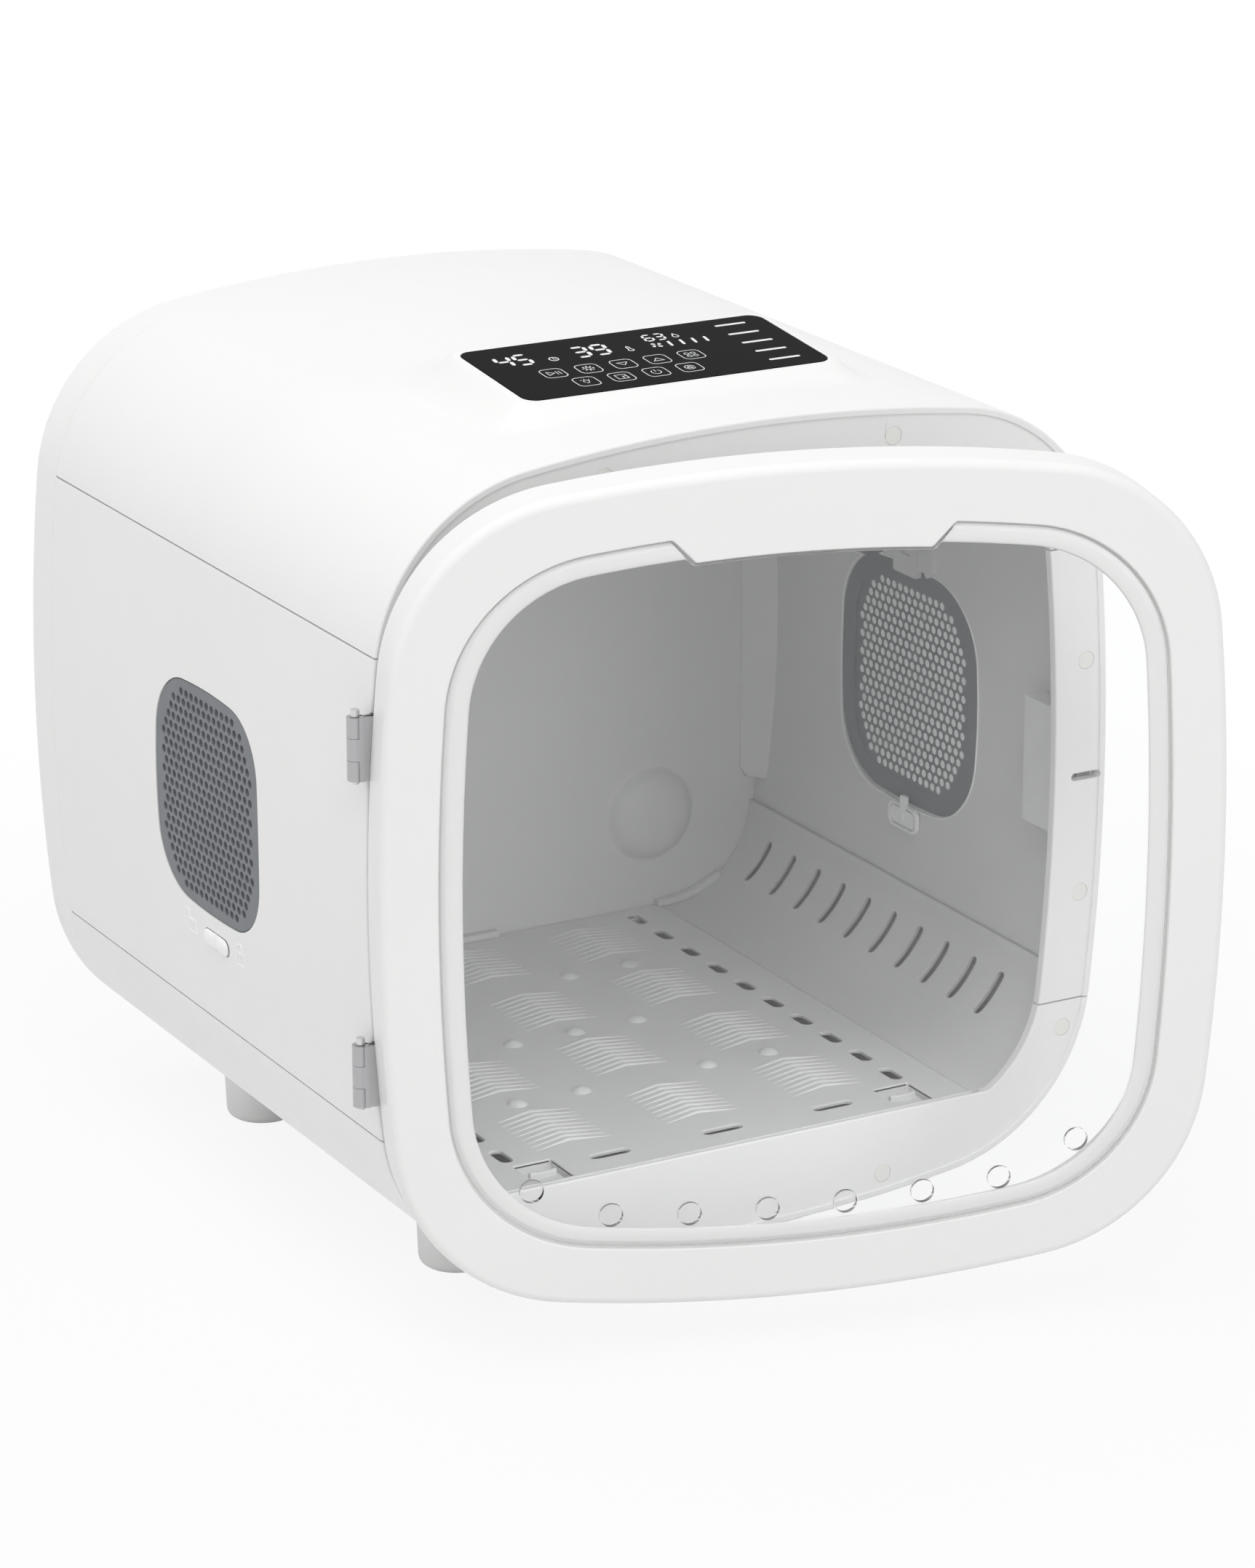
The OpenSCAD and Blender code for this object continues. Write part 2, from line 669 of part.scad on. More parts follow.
module door_switch() on_floor() color([0.15, 0.15, 0.16]) {
    wx = side_x(39, liner_in) - 0.2;
    block([wx - 12, 34, -12], [wx - 2, 47.6, 10]);
    block([wx - 8, 31.5, -3], [wx - 6, 34.5, 1]);
}

module rim_magnets() on_floor() color([0.86, 0.84, 0.78]) {
    for (m = magnets)
        bar_y(m[0], m[1], magnet_d / 2, rim_set, rim_set + 3);
    for (m = left_magnets)
        bar_y(-m[0], m[1], magnet_d / 2, rim_set, rim_set + 3);
}

// ---------------------------------------------------------------- feet
module foot(s, n) on_floor() color([0.93, 0.93, 0.92]) {
    difference() {
        translate([s * foot_x, foot_ys[n], -foot_z]) rotate_extrude($fn = 64)
            polygon([[5.5, 0], [18.5, 0], [20.6, 1], [21.7, 2.6], [22, 4.5], [22, 44],
                     [0, 44], [0, 15], [5.5, 15]]);
        along_y(-10, body_d) blob(-0.1);
        translate([s * foot_x, foot_ys[n], -foot_z]) cylinder(r = 1.7, h = 50, $fn = 24);
    }
}

module front_left_foot() foot(-1, 0);

module front_right_foot() foot(1, 0);

module rear_left_foot() foot(-1, 1);

module rear_right_foot() foot(1, 1);

module foot_screws() on_floor() color([0.70, 0.71, 0.73]) {
    for (s = [-1, 1])
        for (y = foot_ys)
            translate([s * foot_x, y, -foot_z + 12.4]) {
                cylinder(r = 3.4, h = 2.4, $fn = 24);
                cylinder(r = 1.5, h = 30, $fn = 24);
            }
}

// ---------------------------------------------------------------- display
module display_glass() on_floor() color([0.04, 0.04, 0.05]) disp_frame()
    translate([0, 0, -2]) linear_extrude(2) rrect(glass_w, glass_d, 8);

module display_module() on_floor() color([0.10, 0.11, 0.12]) disp_frame() {
    translate([0, 0, -7.5]) linear_extrude(5.1) square([glass_w - 16, glass_d - 16], center = true);
}

module control_board() on_floor() color([0.10, 0.35, 0.20]) {
    z = ceil_z + 13.3;
    translate([0, 114, z]) linear_extrude(1.6) square([glass_w - 26, 68], center = true);
    block([-50, 90, z + 1.5], [-30, 110, z + 4]);
    block([10, 118, z + 1.5], [40, 132, z + 6]);
    block([50, 86, z + 1.5], [62, 96, z + 7]);
    for (x = [-60, -10, 30])
        translate([x, 136, z + 1.5]) cylinder(r = 3.5, h = 6, $fn = 24);
}

module climate_sensor() on_floor() color([0.10, 0.35, 0.20]) {
    block([-76, wall_y - 74, ceil_z + 2.3], [-44, wall_y - 46, ceil_z + 3.9]);
    block([-64, wall_y - 64, ceil_z + 3.8], [-56, wall_y - 56, ceil_z + 7]);
}

// ---------------------------------------------------------------- blower and heater
module scroll2d(i) {
    translate([fan_x, fan_z]) circle(r = scroll_r - i, $fn = 96);
    translate([duct_x0 + i, duct_z0 + i]) square([duct_x1 - duct_x0 - 2 * i, fan_z - duct_z0 - i]);
}

module blower_housing() on_floor() color([0.24, 0.25, 0.27]) {
    difference() {
        along_y(scroll_y0, scroll_y1) scroll2d(0);
        along_y(scroll_y0 + 2, scroll_y1 + 1) scroll2d(2);
        bar_y(fan_x, fan_z, 23, scroll_y0 - 1, scroll_y0 + 3);
        block([duct_x0 + 2, scroll_y0 - 1, duct_z0 + 2], [duct_x1 - 2, scroll_y0 + 3, shelf_z - 3]);
    }
}

module blower_cover() on_floor() color([0.24, 0.25, 0.27]) {
    difference() {
        union() {
            along_y(scroll_y1 + 0.2, scroll_y1 + 2.2) scroll2d(0);
            bar_y(fan_x, fan_z, 42, scroll_y1 + 2, scroll_y1 + 5);
        }
        bar_y(fan_x, fan_z, 39, scroll_y1 - 1, scroll_y1 + 6);
    }
}

module blower_motor() on_floor() color([0.62, 0.63, 0.66])
        translate([fan_x, wall_y - 5, fan_z]) rotate([-90, 0, 0]) {
    cylinder(r = 22, h = 20, $fn = 64);
    translate([0, 0, 5.6]) cylinder(r = 24.4, h = 1.8, $fn = 64);
    translate([0, 0, 19]) cylinder(r = 2.5, h = 10, $fn = 32);
}

module blower_wheel() on_floor() color([0.14, 0.14, 0.15])
        translate([fan_x, scroll_y0 + 4.5, fan_z]) rotate([-90, 0, 0]) {
    difference() {
        union() {
            cylinder(r = wheel_r, h = 2, $fn = 64);
            cylinder(r = 26, h = 12, $fn = 64);
        }
        translate([0, 0, -1]) cylinder(r = 23.5, h = 11, $fn = 64);
        cylinder(r = 2.5 + pin_play, h = 30, $fn = 32);
    }
    translate([0, 0, 28]) difference() {
        cylinder(r = wheel_r, h = 2, $fn = 64);
        translate([0, 0, -1]) cylinder(r = wheel_r - 6, h = 4, $fn = 64);
    }
    for (k = [0:blades - 1])
        rotate([0, 0, k * 360 / blades]) translate([wheel_r - 3.4, 0, 1]) rotate([0, 0, 32])
            translate([-2.6, -0.6, 0]) cube([5.2, 1.2, 28]);
}

module heater_frame() on_floor() color([0.86, 0.82, 0.70]) {
    difference() {
        block([duct_x0 + 2.2, scroll_y0 + 2.2, shelf_z - 2], [duct_x1 - 2.2, scroll_y1 - 0.4, shelf_z + 12]);
        block([duct_x0 + 4.4, scroll_y0 + 4.4, shelf_z - 3], [duct_x1 - 4.4, scroll_y1 - 2.6, shelf_z + 13]);
    }
}

module heater_element() on_floor() color([0.75, 0.76, 0.78]) {
    y0 = scroll_y0 + 4.6;
    y1 = scroll_y1 - 2.8;
    for (k = [0:2])
        block([duct_x0 + 4.6, y0 + 3 + k * (y1 - y0 - 10) / 2, shelf_z + 1],
              [duct_x1 - 4.6, y0 + 7 + k * (y1 - y0 - 10) / 2, shelf_z + 9]);
    for (k = [0:9])
        block([duct_x0 + 6 + k * (duct_x1 - duct_x0 - 12.8) / 9, y0, shelf_z],
              [duct_x0 + 6.8 + k * (duct_x1 - duct_x0 - 12.8) / 9, y1, shelf_z + 10]);
}

module power_board() on_floor() color([0.13, 0.38, 0.22]) {
    y = wall_y + wall_t + 9.2;
    block([board_x0, y, board_z0], [board_x1, y + 1.6, board_z1]);
    block([board_x0 + 14, y + 1.5, board_z0 + 12], [board_x0 + 44, y + 24, board_z0 + 40]);
    block([board_x0 + 80, y + 1.5, board_z0 + 16], [board_x0 + 84, y + 26, board_z0 + 66]);
    block([board_x0 + 16, y + 1.5, board_z1 - 34], [board_x0 + 40, y + 14, board_z1 - 16]);
    for (p = [[60, 24], [60, 48], [98, 74]])
        bar_y(board_x0 + p[0], board_z0 + p[1], 8, y + 1.5, y + 23.5);
}

module power_inlet() on_floor() color([0.12, 0.12, 0.13]) {
    difference() {
        union() {
            block([inlet_x - 16, body_d - 3.2, inlet_z - 13], [inlet_x + 16, body_d - 0.8, inlet_z + 13]);
            block([inlet_x - 14, body_d - 22, inlet_z - 11], [inlet_x + 14, body_d - 3, inlet_z + 11]);
        }
        block([inlet_x - 12, body_d - 17.5, inlet_z - 8], [inlet_x + 12, body_d + 1, inlet_z + 8]);
    }
    for (p = [[-7, -1.5], [7, -1.5], [0, 3.5]])
        block([inlet_x + p[0] - 1, body_d - 18, inlet_z + p[1] - 2],
              [inlet_x + p[0] + 1, body_d - 7, inlet_z + p[1] + 2]);
}

module intake_cover() on_floor() color([0.30, 0.31, 0.33]) {
    difference() {
        along_y(intake_y - intake_w / 2, intake_y + intake_w / 2) intersection() {
            difference() {
                blob(-5);
                blob(-0.1);
            }
            translate([-80, -hb - 10]) square([160, 40]);
        }
        along_y(intake_y - intake_w / 2 + 2, intake_y + intake_w / 2 - 2) intersection() {
            blob(-3.4);
            translate([-78, -hb - 10]) square([156, 40]);
        }
        for (k = [-9:9])
            translate([k * 7.8, intake_y, -hb - 8]) linear_extrude(14) slot2d(3.4, intake_w - 10);
    }
}

module intake_filter() on_floor() color([0.55, 0.58, 0.60])
    along_y(intake_y - intake_w / 2 + 2.2, intake_y + intake_w / 2 - 2.2) intersection() {
        difference() {
            blob(-3.2);
            blob(-0.2);
        }
        translate([-77.8, -hb - 10]) square([155.6, 40]);
    }

module cover_screws() on_floor() color([0.70, 0.71, 0.73]) {
    for (sx = [-1, 1])
        for (sz = [-1, 1]) {
            bar_y(sx * boss[0], sz * boss[1], 3.6, body_d - 5.9, body_d - 3.4);
            bar_y(sx * boss[0], sz * boss[1], 1.5, cover_y - 12, body_d - 5);
        }
}

// ---------------------------------------------------------------- door
module tab2d(g) polygon([
    [-73.5 - g, lip_top + 2], [-73.5 - g, lip_top - 3.6], [-61.5 - g, lip_top - 15.6 - g],
    [61.5 + g, lip_top - 15.6 - g], [73.5 + g, lip_top - 3.6], [73.5 + g, lip_top + 2]]);

lip_top = hb - 31.7;
seat_y = door_front + 1.6 + window_t;

module door_frame() on_floor() ajar() color([0.97, 0.97, 0.96]) {
    difference() {
        hull() {
            along_y(door_front + 4, door_back - 0.01) blob(0);
            along_y(door_front + 1.6, door_back - 4) blob(0.9);
            along_y(door_front + 0.4, door_back - 6) blob(2.6);
            along_y(door_front, door_back - 8) blob(4.4);
        }
        // hollow ring between the outer wall and the lip wall
        along_y(door_front + 2.6, door_back + 1) difference() {
            blob(2.6);
            lip(-2.4);
        }
        // pocket of the window, and the clear opening through its flange
        along_y(door_front - 1, seat_y) difference() {
            lip(0);
            tab2d(0);
        }
        along_y(seat_y - 1, seat_y + 4) lip(flange_w);
        along_y(seat_y + 2, door_back + 1) lip(0);
    }
    // small web that ties the tab to the flange
    along_y(door_front + 0.02, seat_y + 0.5) intersection() {
        lip(-1);
        tab2d(0);
    }
}

module door_back_ring() on_floor() ajar() color([0.95, 0.95, 0.94]) {
    difference() {
        along_y(door_back - 3.4, door_back - 0.2) difference() {
            blob(2.9);
            lip(-2.7);
        }
        for (m = magnets)
            bar_y(m[0], m[1], magnet_d / 2 + 0.1, door_back - 3, door_back + 1);
        for (m = left_magnets)
            bar_y(-m[0], m[1], magnet_d / 2 + 0.1, door_back - 3, door_back + 1);
    }
}

module window_panel() on_floor() ajar() color([0.75, 0.82, 0.88, 0.35]) {
    along_y(seat_y - window_t - 0.1, seat_y - 0.1) difference() {
        lip(1.5);
        tab2d(1.2);
        for (s = [-1, 1])
            for (p = [[21, 19.6], [63, 21.1], [105, 24.6], [147, 42.1]])
                translate([s * p[0] * ha / 225, -lip_top + p[1]]) circle(d = hole_d, $fn = 32);
    }
}

module door_magnets() on_floor() ajar() color([0.60, 0.60, 0.62]) {
    for (m = magnets)
        bar_y(m[0], m[1], magnet_d / 2, door_back - 2.9, door_back - 0.2);
    for (m = left_magnets)
        bar_y(-m[0], m[1], magnet_d / 2, door_back - 2.9, door_back - 0.2);
}

module door_tongue() on_floor() ajar() color([0.92, 0.92, 0.91]) {
    block([ha - 20.3, door_back, -6], [ha - 4.3, door_back + 1.6, 4]);
    block([ha - 18, door_back + 1, -2.3], [ha - 8.3, 24, 0.3]);
}

// ---------------------------------------------------------------- hinges
knuckle_h = hinge_h * 0.36;

module barrel(z0, z1) translate([hinge_x, hinge_y, z0]) cylinder(r = barrel_r, h = z1 - z0, $fn = 48);

module hinge_bore(z) translate([hinge_x, hinge_y, z - hinge_h])
    cylinder(r = pin_r + pin_play, h = 2 * hinge_h, $fn = 32);

module leaf_holes(z, y0, y1) for (s = [-1, 1])
    bar_y(-hinge_side_x + 7, z + s * hinge_h * 0.28, 1.8, y0, y1);

// leaf fixed to the body, with the two outer knuckles
module body_leaf(z) on_floor() color([0.72, 0.73, 0.75]) difference() {
    union() {
        difference() {
            block([hinge_x, rim_set - leaf_t, z - hinge_h / 2], [-hinge_side_x, rim_set, z + hinge_h / 2]);
            barrel_gap(z, knuckle_h / 2 + 0.3);
        }
        for (s = [-1, 1])
            barrel(z + (s < 0 ? -hinge_h / 2 : knuckle_h / 2), z + (s < 0 ? -knuckle_h / 2 : hinge_h / 2));
    }
    hinge_bore(z);
    leaf_holes(z, rim_set - leaf_t - 1, rim_set + 1);
}

// room for the middle knuckle
module barrel_gap(z, h) translate([hinge_x, hinge_y, z - h])
    cylinder(r = barrel_r + 0.6, h = 2 * h, $fn = 48);

// leaf fixed to the door, with the middle knuckle
module door_leaf(z) on_floor() ajar() color([0.72, 0.73, 0.75]) difference() {
    union() {
        difference() {
            block([hinge_x, door_back, z - hinge_h / 2],
                  [-hinge_side_x, door_back + leaf_t, z + hinge_h / 2]);
            difference() {
                barrel_gap(z, hinge_h);
                translate([hinge_x, hinge_y, z - knuckle_h / 2 + 0.3])
                    cylinder(r = barrel_r + 1, h = knuckle_h - 0.6, $fn = 48);
            }
        }
        barrel(z - knuckle_h / 2 + 0.3, z + knuckle_h / 2 - 0.3);
    }
    hinge_bore(z);
    leaf_holes(z, door_back - 1, door_back + leaf_t + 1);
}

module hinge_pin(z) on_floor() color([0.80, 0.81, 0.83]) translate([hinge_x, hinge_y, z]) {
    translate([0, 0, -hinge_h / 2 - 2]) cylinder(r = pin_r, h = hinge_h + 3, $fn = 32);
    translate([0, 0, hinge_h / 2 + 0.2]) cylinder(r = 2.7, h = 4.3, $fn = 32);
}

module upper_body_leaf() body_leaf(hinge_zs[0]);

module lower_body_leaf() body_leaf(hinge_zs[1]);

module upper_door_leaf() door_leaf(hinge_zs[0]);

module lower_door_leaf() door_leaf(hinge_zs[1]);

module upper_hinge_pin() hinge_pin(hinge_zs[0]);

module lower_hinge_pin() hinge_pin(hinge_zs[1]);

module body_leaf_screws() on_floor() color([0.65, 0.66, 0.68])
    for (z = hinge_zs)
        leaf_screws(z, rim_set - leaf_t);

module door_leaf_screws() on_floor() ajar() color([0.65, 0.66, 0.68])
    for (z = hinge_zs)
        for (s = [-1, 1])
            bar_y(-hinge_side_x + 7, z + s * hinge_h * 0.28, 1.7, door_back + 0.1, door_back + leaf_t);

module leaf_screws(z, y) for (s = [-1, 1])
    bar_y(-hinge_side_x + 7, z + s * hinge_h * 0.28, 1.7, y, y + leaf_t - 0.1);

top_cover();
left_side_panel();
right_side_panel();
bottom_shell();
back_cover();
chamber_liner();
back_wall();
left_louvre_panel();
right_louvre_panel();
floor_tray();
left_tray_latch();
right_tray_latch();
left_vent_grille();
right_vent_grille();
left_grille_clip();
right_grille_clip();
left_lock_slider();
right_lock_slider();
latch_housing();
door_switch();
rim_magnets();
front_left_foot();
front_right_foot();
rear_left_foot();
rear_right_foot();
foot_screws();
display_glass();
display_module();
control_board();
climate_sensor();
blower_housing();
blower_cover();
blower_motor();
blower_wheel();
heater_frame();
heater_element();
power_board();
power_inlet();
intake_cover();
intake_filter();
cover_screws();
door_frame();
door_back_ring();
window_panel();
door_magnets();
door_tongue();
upper_body_leaf();
lower_body_leaf();
upper_door_leaf();
lower_door_leaf();
upper_hinge_pin();
lower_hinge_pin();
body_leaf_screws();
door_leaf_screws();
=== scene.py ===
# Looks of the pet drying cabinet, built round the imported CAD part.
# Sizes are millimetres in the body axes: x = 0 is the middle of the body, y = 0 the
# front plane of the shell and z = 0 the middle height of its outline. BODY_AT and
# DOOR_AT place what is built in them into the part frame, which is in metres.
import json
from contextlib import contextmanager
from math import acos, asin, atan2, cos, hypot, pi, radians, sin, sqrt, tan

import bmesh
import bpy
import numpy as np
from mathutils import Matrix, Vector


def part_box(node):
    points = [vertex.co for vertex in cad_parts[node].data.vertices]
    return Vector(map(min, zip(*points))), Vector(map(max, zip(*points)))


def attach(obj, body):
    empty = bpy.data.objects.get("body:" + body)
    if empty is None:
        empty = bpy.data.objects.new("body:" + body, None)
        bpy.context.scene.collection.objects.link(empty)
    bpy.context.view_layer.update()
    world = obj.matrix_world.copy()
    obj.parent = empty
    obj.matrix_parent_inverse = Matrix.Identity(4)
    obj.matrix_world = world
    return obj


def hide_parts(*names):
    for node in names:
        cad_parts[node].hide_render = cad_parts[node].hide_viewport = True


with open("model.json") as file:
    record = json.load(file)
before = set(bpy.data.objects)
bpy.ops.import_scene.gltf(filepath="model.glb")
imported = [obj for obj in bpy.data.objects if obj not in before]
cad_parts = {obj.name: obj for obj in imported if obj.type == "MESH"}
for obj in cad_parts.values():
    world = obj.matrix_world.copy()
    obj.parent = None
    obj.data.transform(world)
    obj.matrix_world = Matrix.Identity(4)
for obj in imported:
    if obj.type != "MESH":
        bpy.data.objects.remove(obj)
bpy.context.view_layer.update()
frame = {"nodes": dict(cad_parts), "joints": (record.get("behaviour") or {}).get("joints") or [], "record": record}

# -------- sizes from the frame
MM = 0.001
cover_lo, cover_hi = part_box("back_cover")
top_lo, top_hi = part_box("top_cover")
ORIGIN = Vector(((cover_lo.x + cover_hi.x) / 2, top_lo.y, (cover_lo.z + cover_hi.z) / 2))
HALF_W = (cover_hi.x - cover_lo.x) / 2 / MM
HALF_H = (cover_hi.z - cover_lo.z) / 2 / MM
DEPTH = (cover_hi.y - ORIGIN.y) / MM
COVER_Y = (top_hi.y - ORIGIN.y) / MM
SEAM_SIDE = (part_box("left_side_panel")[1].z - ORIGIN.z) / MM
SEAM_TOP = (top_lo.z - ORIGIN.z) / MM
FLOOR_Z = (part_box("left_tray_latch")[1].z - ORIGIN.z) / MM
WALL_Y = (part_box("chamber_liner")[1].y - ORIGIN.y) / MM + 0.4
AJAR = radians(next(j for j in frame["joints"] if j["name"] == "door_hinge")["range_deg"][0])

# -------- sizes of the outline
# half width, half height, then the radius of the sides, of the crown and of the corners
BODY = (HALF_W, HALF_H, 1265, 933, 101.6)
LIP = (HALF_W - 32.1, HALF_H - 31.7, 1458, 859, 83.8)
VENT = (64.5, 63.2, 420, 400, 36)
SHELL = 3               # wall of the shell
RIM_W = 32              # front rim: its width, its back face and its front face
RIM_D = 7
RIM_SET = 1.3
EDGE_W = 4              # raised edge round the rim
SEAM = 0.25             # each shell part stops this far from the middle of a seam
MOUTH_Z = FLOOR_Z + 1
SHELF_Z = FLOOR_Z - 2.7     # what the tray lies on
LINER_IN = 5.5
LINER_Y = (7.4, WALL_Y - 0.4)
CEIL_Z = HALF_H - 25.8
LOUVRE_R = 63
LOUVRE_IN = 2.8         # the arc draws in by this much towards its upper edge
ARC_X = HALF_W - 11 - LOUVRE_R
ARC_Z = FLOOR_Z + LOUVRE_R
TRAY_HALF = ARC_X - 4.5
LATCH_X = TRAY_HALF - 34.2
VENT_Y, VENT_Z = 193.1, -2.7
LOCK_Y, LOCK_Z = VENT_Y - 4.1, -80.4
DOOR_BACK, DOOR_FRONT = -2.7, -30.8
SEAT_Y = DOOR_FRONT + 4.6   # seat of the window in the door
FLANGE = 11.2
DOOR_STEPS = (10, 24, 60)
GLASS_W, GLASS_D, GLASS_TILT = 184, 81, radians(5.9)
GLASS_Y, GLASS_Z = 112.75, HALF_H + 9.05
HINGE_X, HINGE_Y = -HALF_W - 4.6, 0.4
HINGE_Z, HINGE_H = (85.2, -90.8), 33.5
MAGNETS = [(86, HALF_H - 19.8), (HALF_W - 13.9, 65), (HALF_W - 13.9, -68),
           (HALF_W - 23, -HALF_H + 80), (86.5, -HALF_H + 16)]
MAGNETS += [(-MAGNETS[k][0], MAGNETS[k][1]) for k in (0, 3, 4)]
INLET_X, INLET_Z = -HALF_W + 85, -HALF_H + 76
FAN_X, FAN_Z = HALF_W - 84, -HALF_H + 108.8

BODY_AT = Matrix.Translation(ORIGIN) @ Matrix.Scale(MM, 4)
hinge_at = Matrix.Translation((HINGE_X, HINGE_Y, 0))
DOOR_AT = BODY_AT @ hinge_at @ Matrix.Rotation(AJAR, 4, "Z") @ hinge_at.inverted()
GLASS_AT = Matrix.Translation((0, GLASS_Y, GLASS_Z)) @ Matrix.Rotation(GLASS_TILT, 4, "X")


# -------- outline drawings
def unit(v):
    return v / np.linalg.norm(v)


def arc_points(centre, r, angles):
    return [[centre[0] + r * cos(t), centre[1] + r * sin(t)] for t in angles]


def corner_centre(shape):
    """Middle of the corner arc that is tangent to the side arc and the crown arc."""
    a, b, rv, rh, rc = shape
    p, q = np.array([a - rv, 0.0]), np.array([0.0, b - rh])
    d, (ux, uy) = np.linalg.norm(q - p), unit(q - p)
    m = ((rv - rc) ** 2 - (rh - rc) ** 2 + d * d) / (2 * d)
    h = sqrt((rv - rc) ** 2 - m * m)
    return p + [ux * m - uy * h, uy * m + ux * h]


def quarter(shape, inset=0, z0=0, steps=(8, 20, 12), marks=()):
    """Points from height z0 on the right side round the upper corner to the middle of
    the crown. marks are x places on the crown that get a point of their own."""
    a, b, rv, rh, rc = shape
    c = corner_centre(shape)
    t1, t2 = atan2(c[1], c[0] - a + rv), atan2(c[1] - b + rh, c[0])
    t0, side = asin(z0 / (rv - inset)), []
    if t0 < t1:
        side = np.linspace(t0, t1, steps[0] + 1)[:-1]
        t0 = t1
    else:
        t0 = asin((z0 - c[1]) / (rc - inset))
    crown = list(np.linspace(t2, pi / 2, steps[2] + 1))
    for x in marks:
        t = acos(x / rh)
        crown[int(np.argmin([abs(k - t) for k in crown]))] = t
    return np.array(arc_points((a - rv, 0), rv - inset, side)
                    + arc_points(c, rc - inset, np.linspace(t0, t2, steps[1] + 1)[:-1])
                    + arc_points((0, b - rh), rh - inset, crown))


def over_top(shape, inset=0, z0=0, **more):
    """Points from height z0 on the right over the crown to height z0 on the left."""
    q = quarter(shape, inset, z0, **more)
    return np.vstack([q, q[-2::-1] * [-1, 1]])


def all_round(shape, inset=0, **more):
    top = over_top(shape, inset, **more)
    return np.vstack([top, top[-2:0:-1] * [1, -1]])


def side_part(shape, inset, z0, steps=(14, 5)):
    """Points down the right side from height z0 to -z0, which lie past the side arc."""
    middle, r, corner = shape[0] - shape[2], shape[2] - inset, shape[4] - inset
    c = corner_centre(shape)
    t1, t0 = atan2(c[1], c[0] - middle), asin((z0 - c[1]) / corner)
    upper = np.array(arc_points(c, corner, np.linspace(t0, t1, steps[1] + 1))
                     + arc_points((middle, 0), r, np.linspace(t1, 0, steps[0] + 1)[1:]))
    return np.vstack([upper, upper[-2::-1] * [1, -1]])


def crown_z(x, inset=0):
    return HALF_H - BODY[3] + np.sqrt((BODY[3] - inset) ** 2 - np.asarray(x) ** 2)


def side_x(z, inset=0):
    return HALF_W - BODY[2] + np.sqrt((BODY[2] - inset) ** 2 - np.asarray(z) ** 2)


def wall_x(z, inset):
    """x of the right wall at height z, on the side arc or on the corner arc."""
    c = corner_centre(BODY)
    if abs(z) < c[1]:
        return float(side_x(z, inset))
    return c[0] + sqrt((BODY[4] - inset) ** 2 - (abs(z) - c[1]) ** 2)


def slot(w, h, n=8):
    """Rounded slot, w by h, round its own middle."""
    r, ring = min(w, h) / 2, circle(1, 4 * n)
    return ring * r + np.sign(ring.round(9)) * [w / 2 - r, h / 2 - r]


def rrect(w, h, r, n=6):
    """Rectangle, w by h, with rounded corners, round its own middle."""
    pts = []
    for k, (sx, sy) in enumerate(((1, 1), (-1, 1), (-1, -1), (1, -1))):
        pts += arc_points((sx * (w / 2 - r), sy * (h / 2 - r)), r,
                          [(k + j / n) * pi / 2 for j in range(n + 1)])
    return np.array(pts)


def circle(r, n=24):
    return np.array(arc_points((0, 0), r, [2 * pi * k / n for k in range(n)]))


def fillet(points, radii, n=4, closed=True):
    """The drawing with each corner rounded by its own radius."""
    out, count = [], len(points)
    pts = [np.array(p, float) for p in points]
    for k, (p, r) in enumerate(zip(pts, radii)):
        if r == 0 or (not closed and k in (0, count - 1)):
            out.append(p)
            continue
        u, v = unit(pts[k - 1] - p), unit(pts[(k + 1) % count] - p)
        half = acos(max(-1, min(1, float(u @ v)))) / 2
        reach = r / tan(half)
        mid = p + unit(u + v) * r / sin(half)
        a, b = p + u * reach - mid, p + v * reach - mid
        out += [mid + unit(a * (1 - j / n) + b * (j / n)) * r for j in range(n + 1)]
    return np.array(out)


# -------- solids as (points, faces)
def stand(axis):
    """Function that gives flat points their place along the axis as third coordinate."""
    return lambda points, place: np.insert(np.asarray(points, float), axis, place, axis=1)


at_x, at_y, at_z = stand(0), stand(1), stand(2)


def loft(rings, closed_u=True, closed_v=False):
    """Skin through rings of equally many points, with flat caps where it is open."""
    rings = [np.asarray(r, float) for r in rings]
    nv, nu = len(rings), len(rings[0])
    faces = []
    for v in range(nv if closed_v else nv - 1):
        for u in range(nu if closed_u else nu - 1):
            a, b = v * nu, (v + 1) % nv * nu
            faces.append((a + u, a + (u + 1) % nu, b + (u + 1) % nu, b + u))
    if closed_u != closed_v:
        grid = np.arange(nv * nu).reshape(nv, nu)
        faces += [tuple(ends) for ends in (grid if closed_u else grid.T)[[0, -1]]]
    return np.vstack(rings), faces


def sweep(draw, profile):
    """Rings of the drawing draw(inset) for the (inset, y) points of a profile."""
    return [at_y(draw(inset), y) for inset, y in profile]


def prism(points, place, lo, hi):
    """Drawing pushed from lo to hi along the axis of place, which is at_x, at_y or at_z."""
    return loft([place(points, lo), place(points, hi)])


def block(lo, hi):
    (x0, y0, z0), (x1, y1, z1) = lo, hi
    return prism([(x0, y0), (x1, y0), (x1, y1), (x0, y1)], at_z, z0, z1)


def wall_ring(lo, hi, wall, z0, z1):
    """Upright walls round a rectangle from lo to hi, seen from above."""
    outer = np.array([lo, (hi[0], lo[1]), hi, (lo[0], hi[1])])
    inner = outer + wall * np.array([(1, 1), (-1, 1), (-1, -1), (1, -1)])
    return loft([at_z(outer, z0), at_z(outer, z1), at_z(inner, z1), at_z(inner, z0)],
                closed_v=True)


def lathe(profile, middle, place=at_z, n=48):
    """Solid of revolution of (radius, height) points, upright or with place=at_y lying."""
    return loft([place(circle(max(r, 1e-4), n), h) + np.array(middle) for r, h in profile])


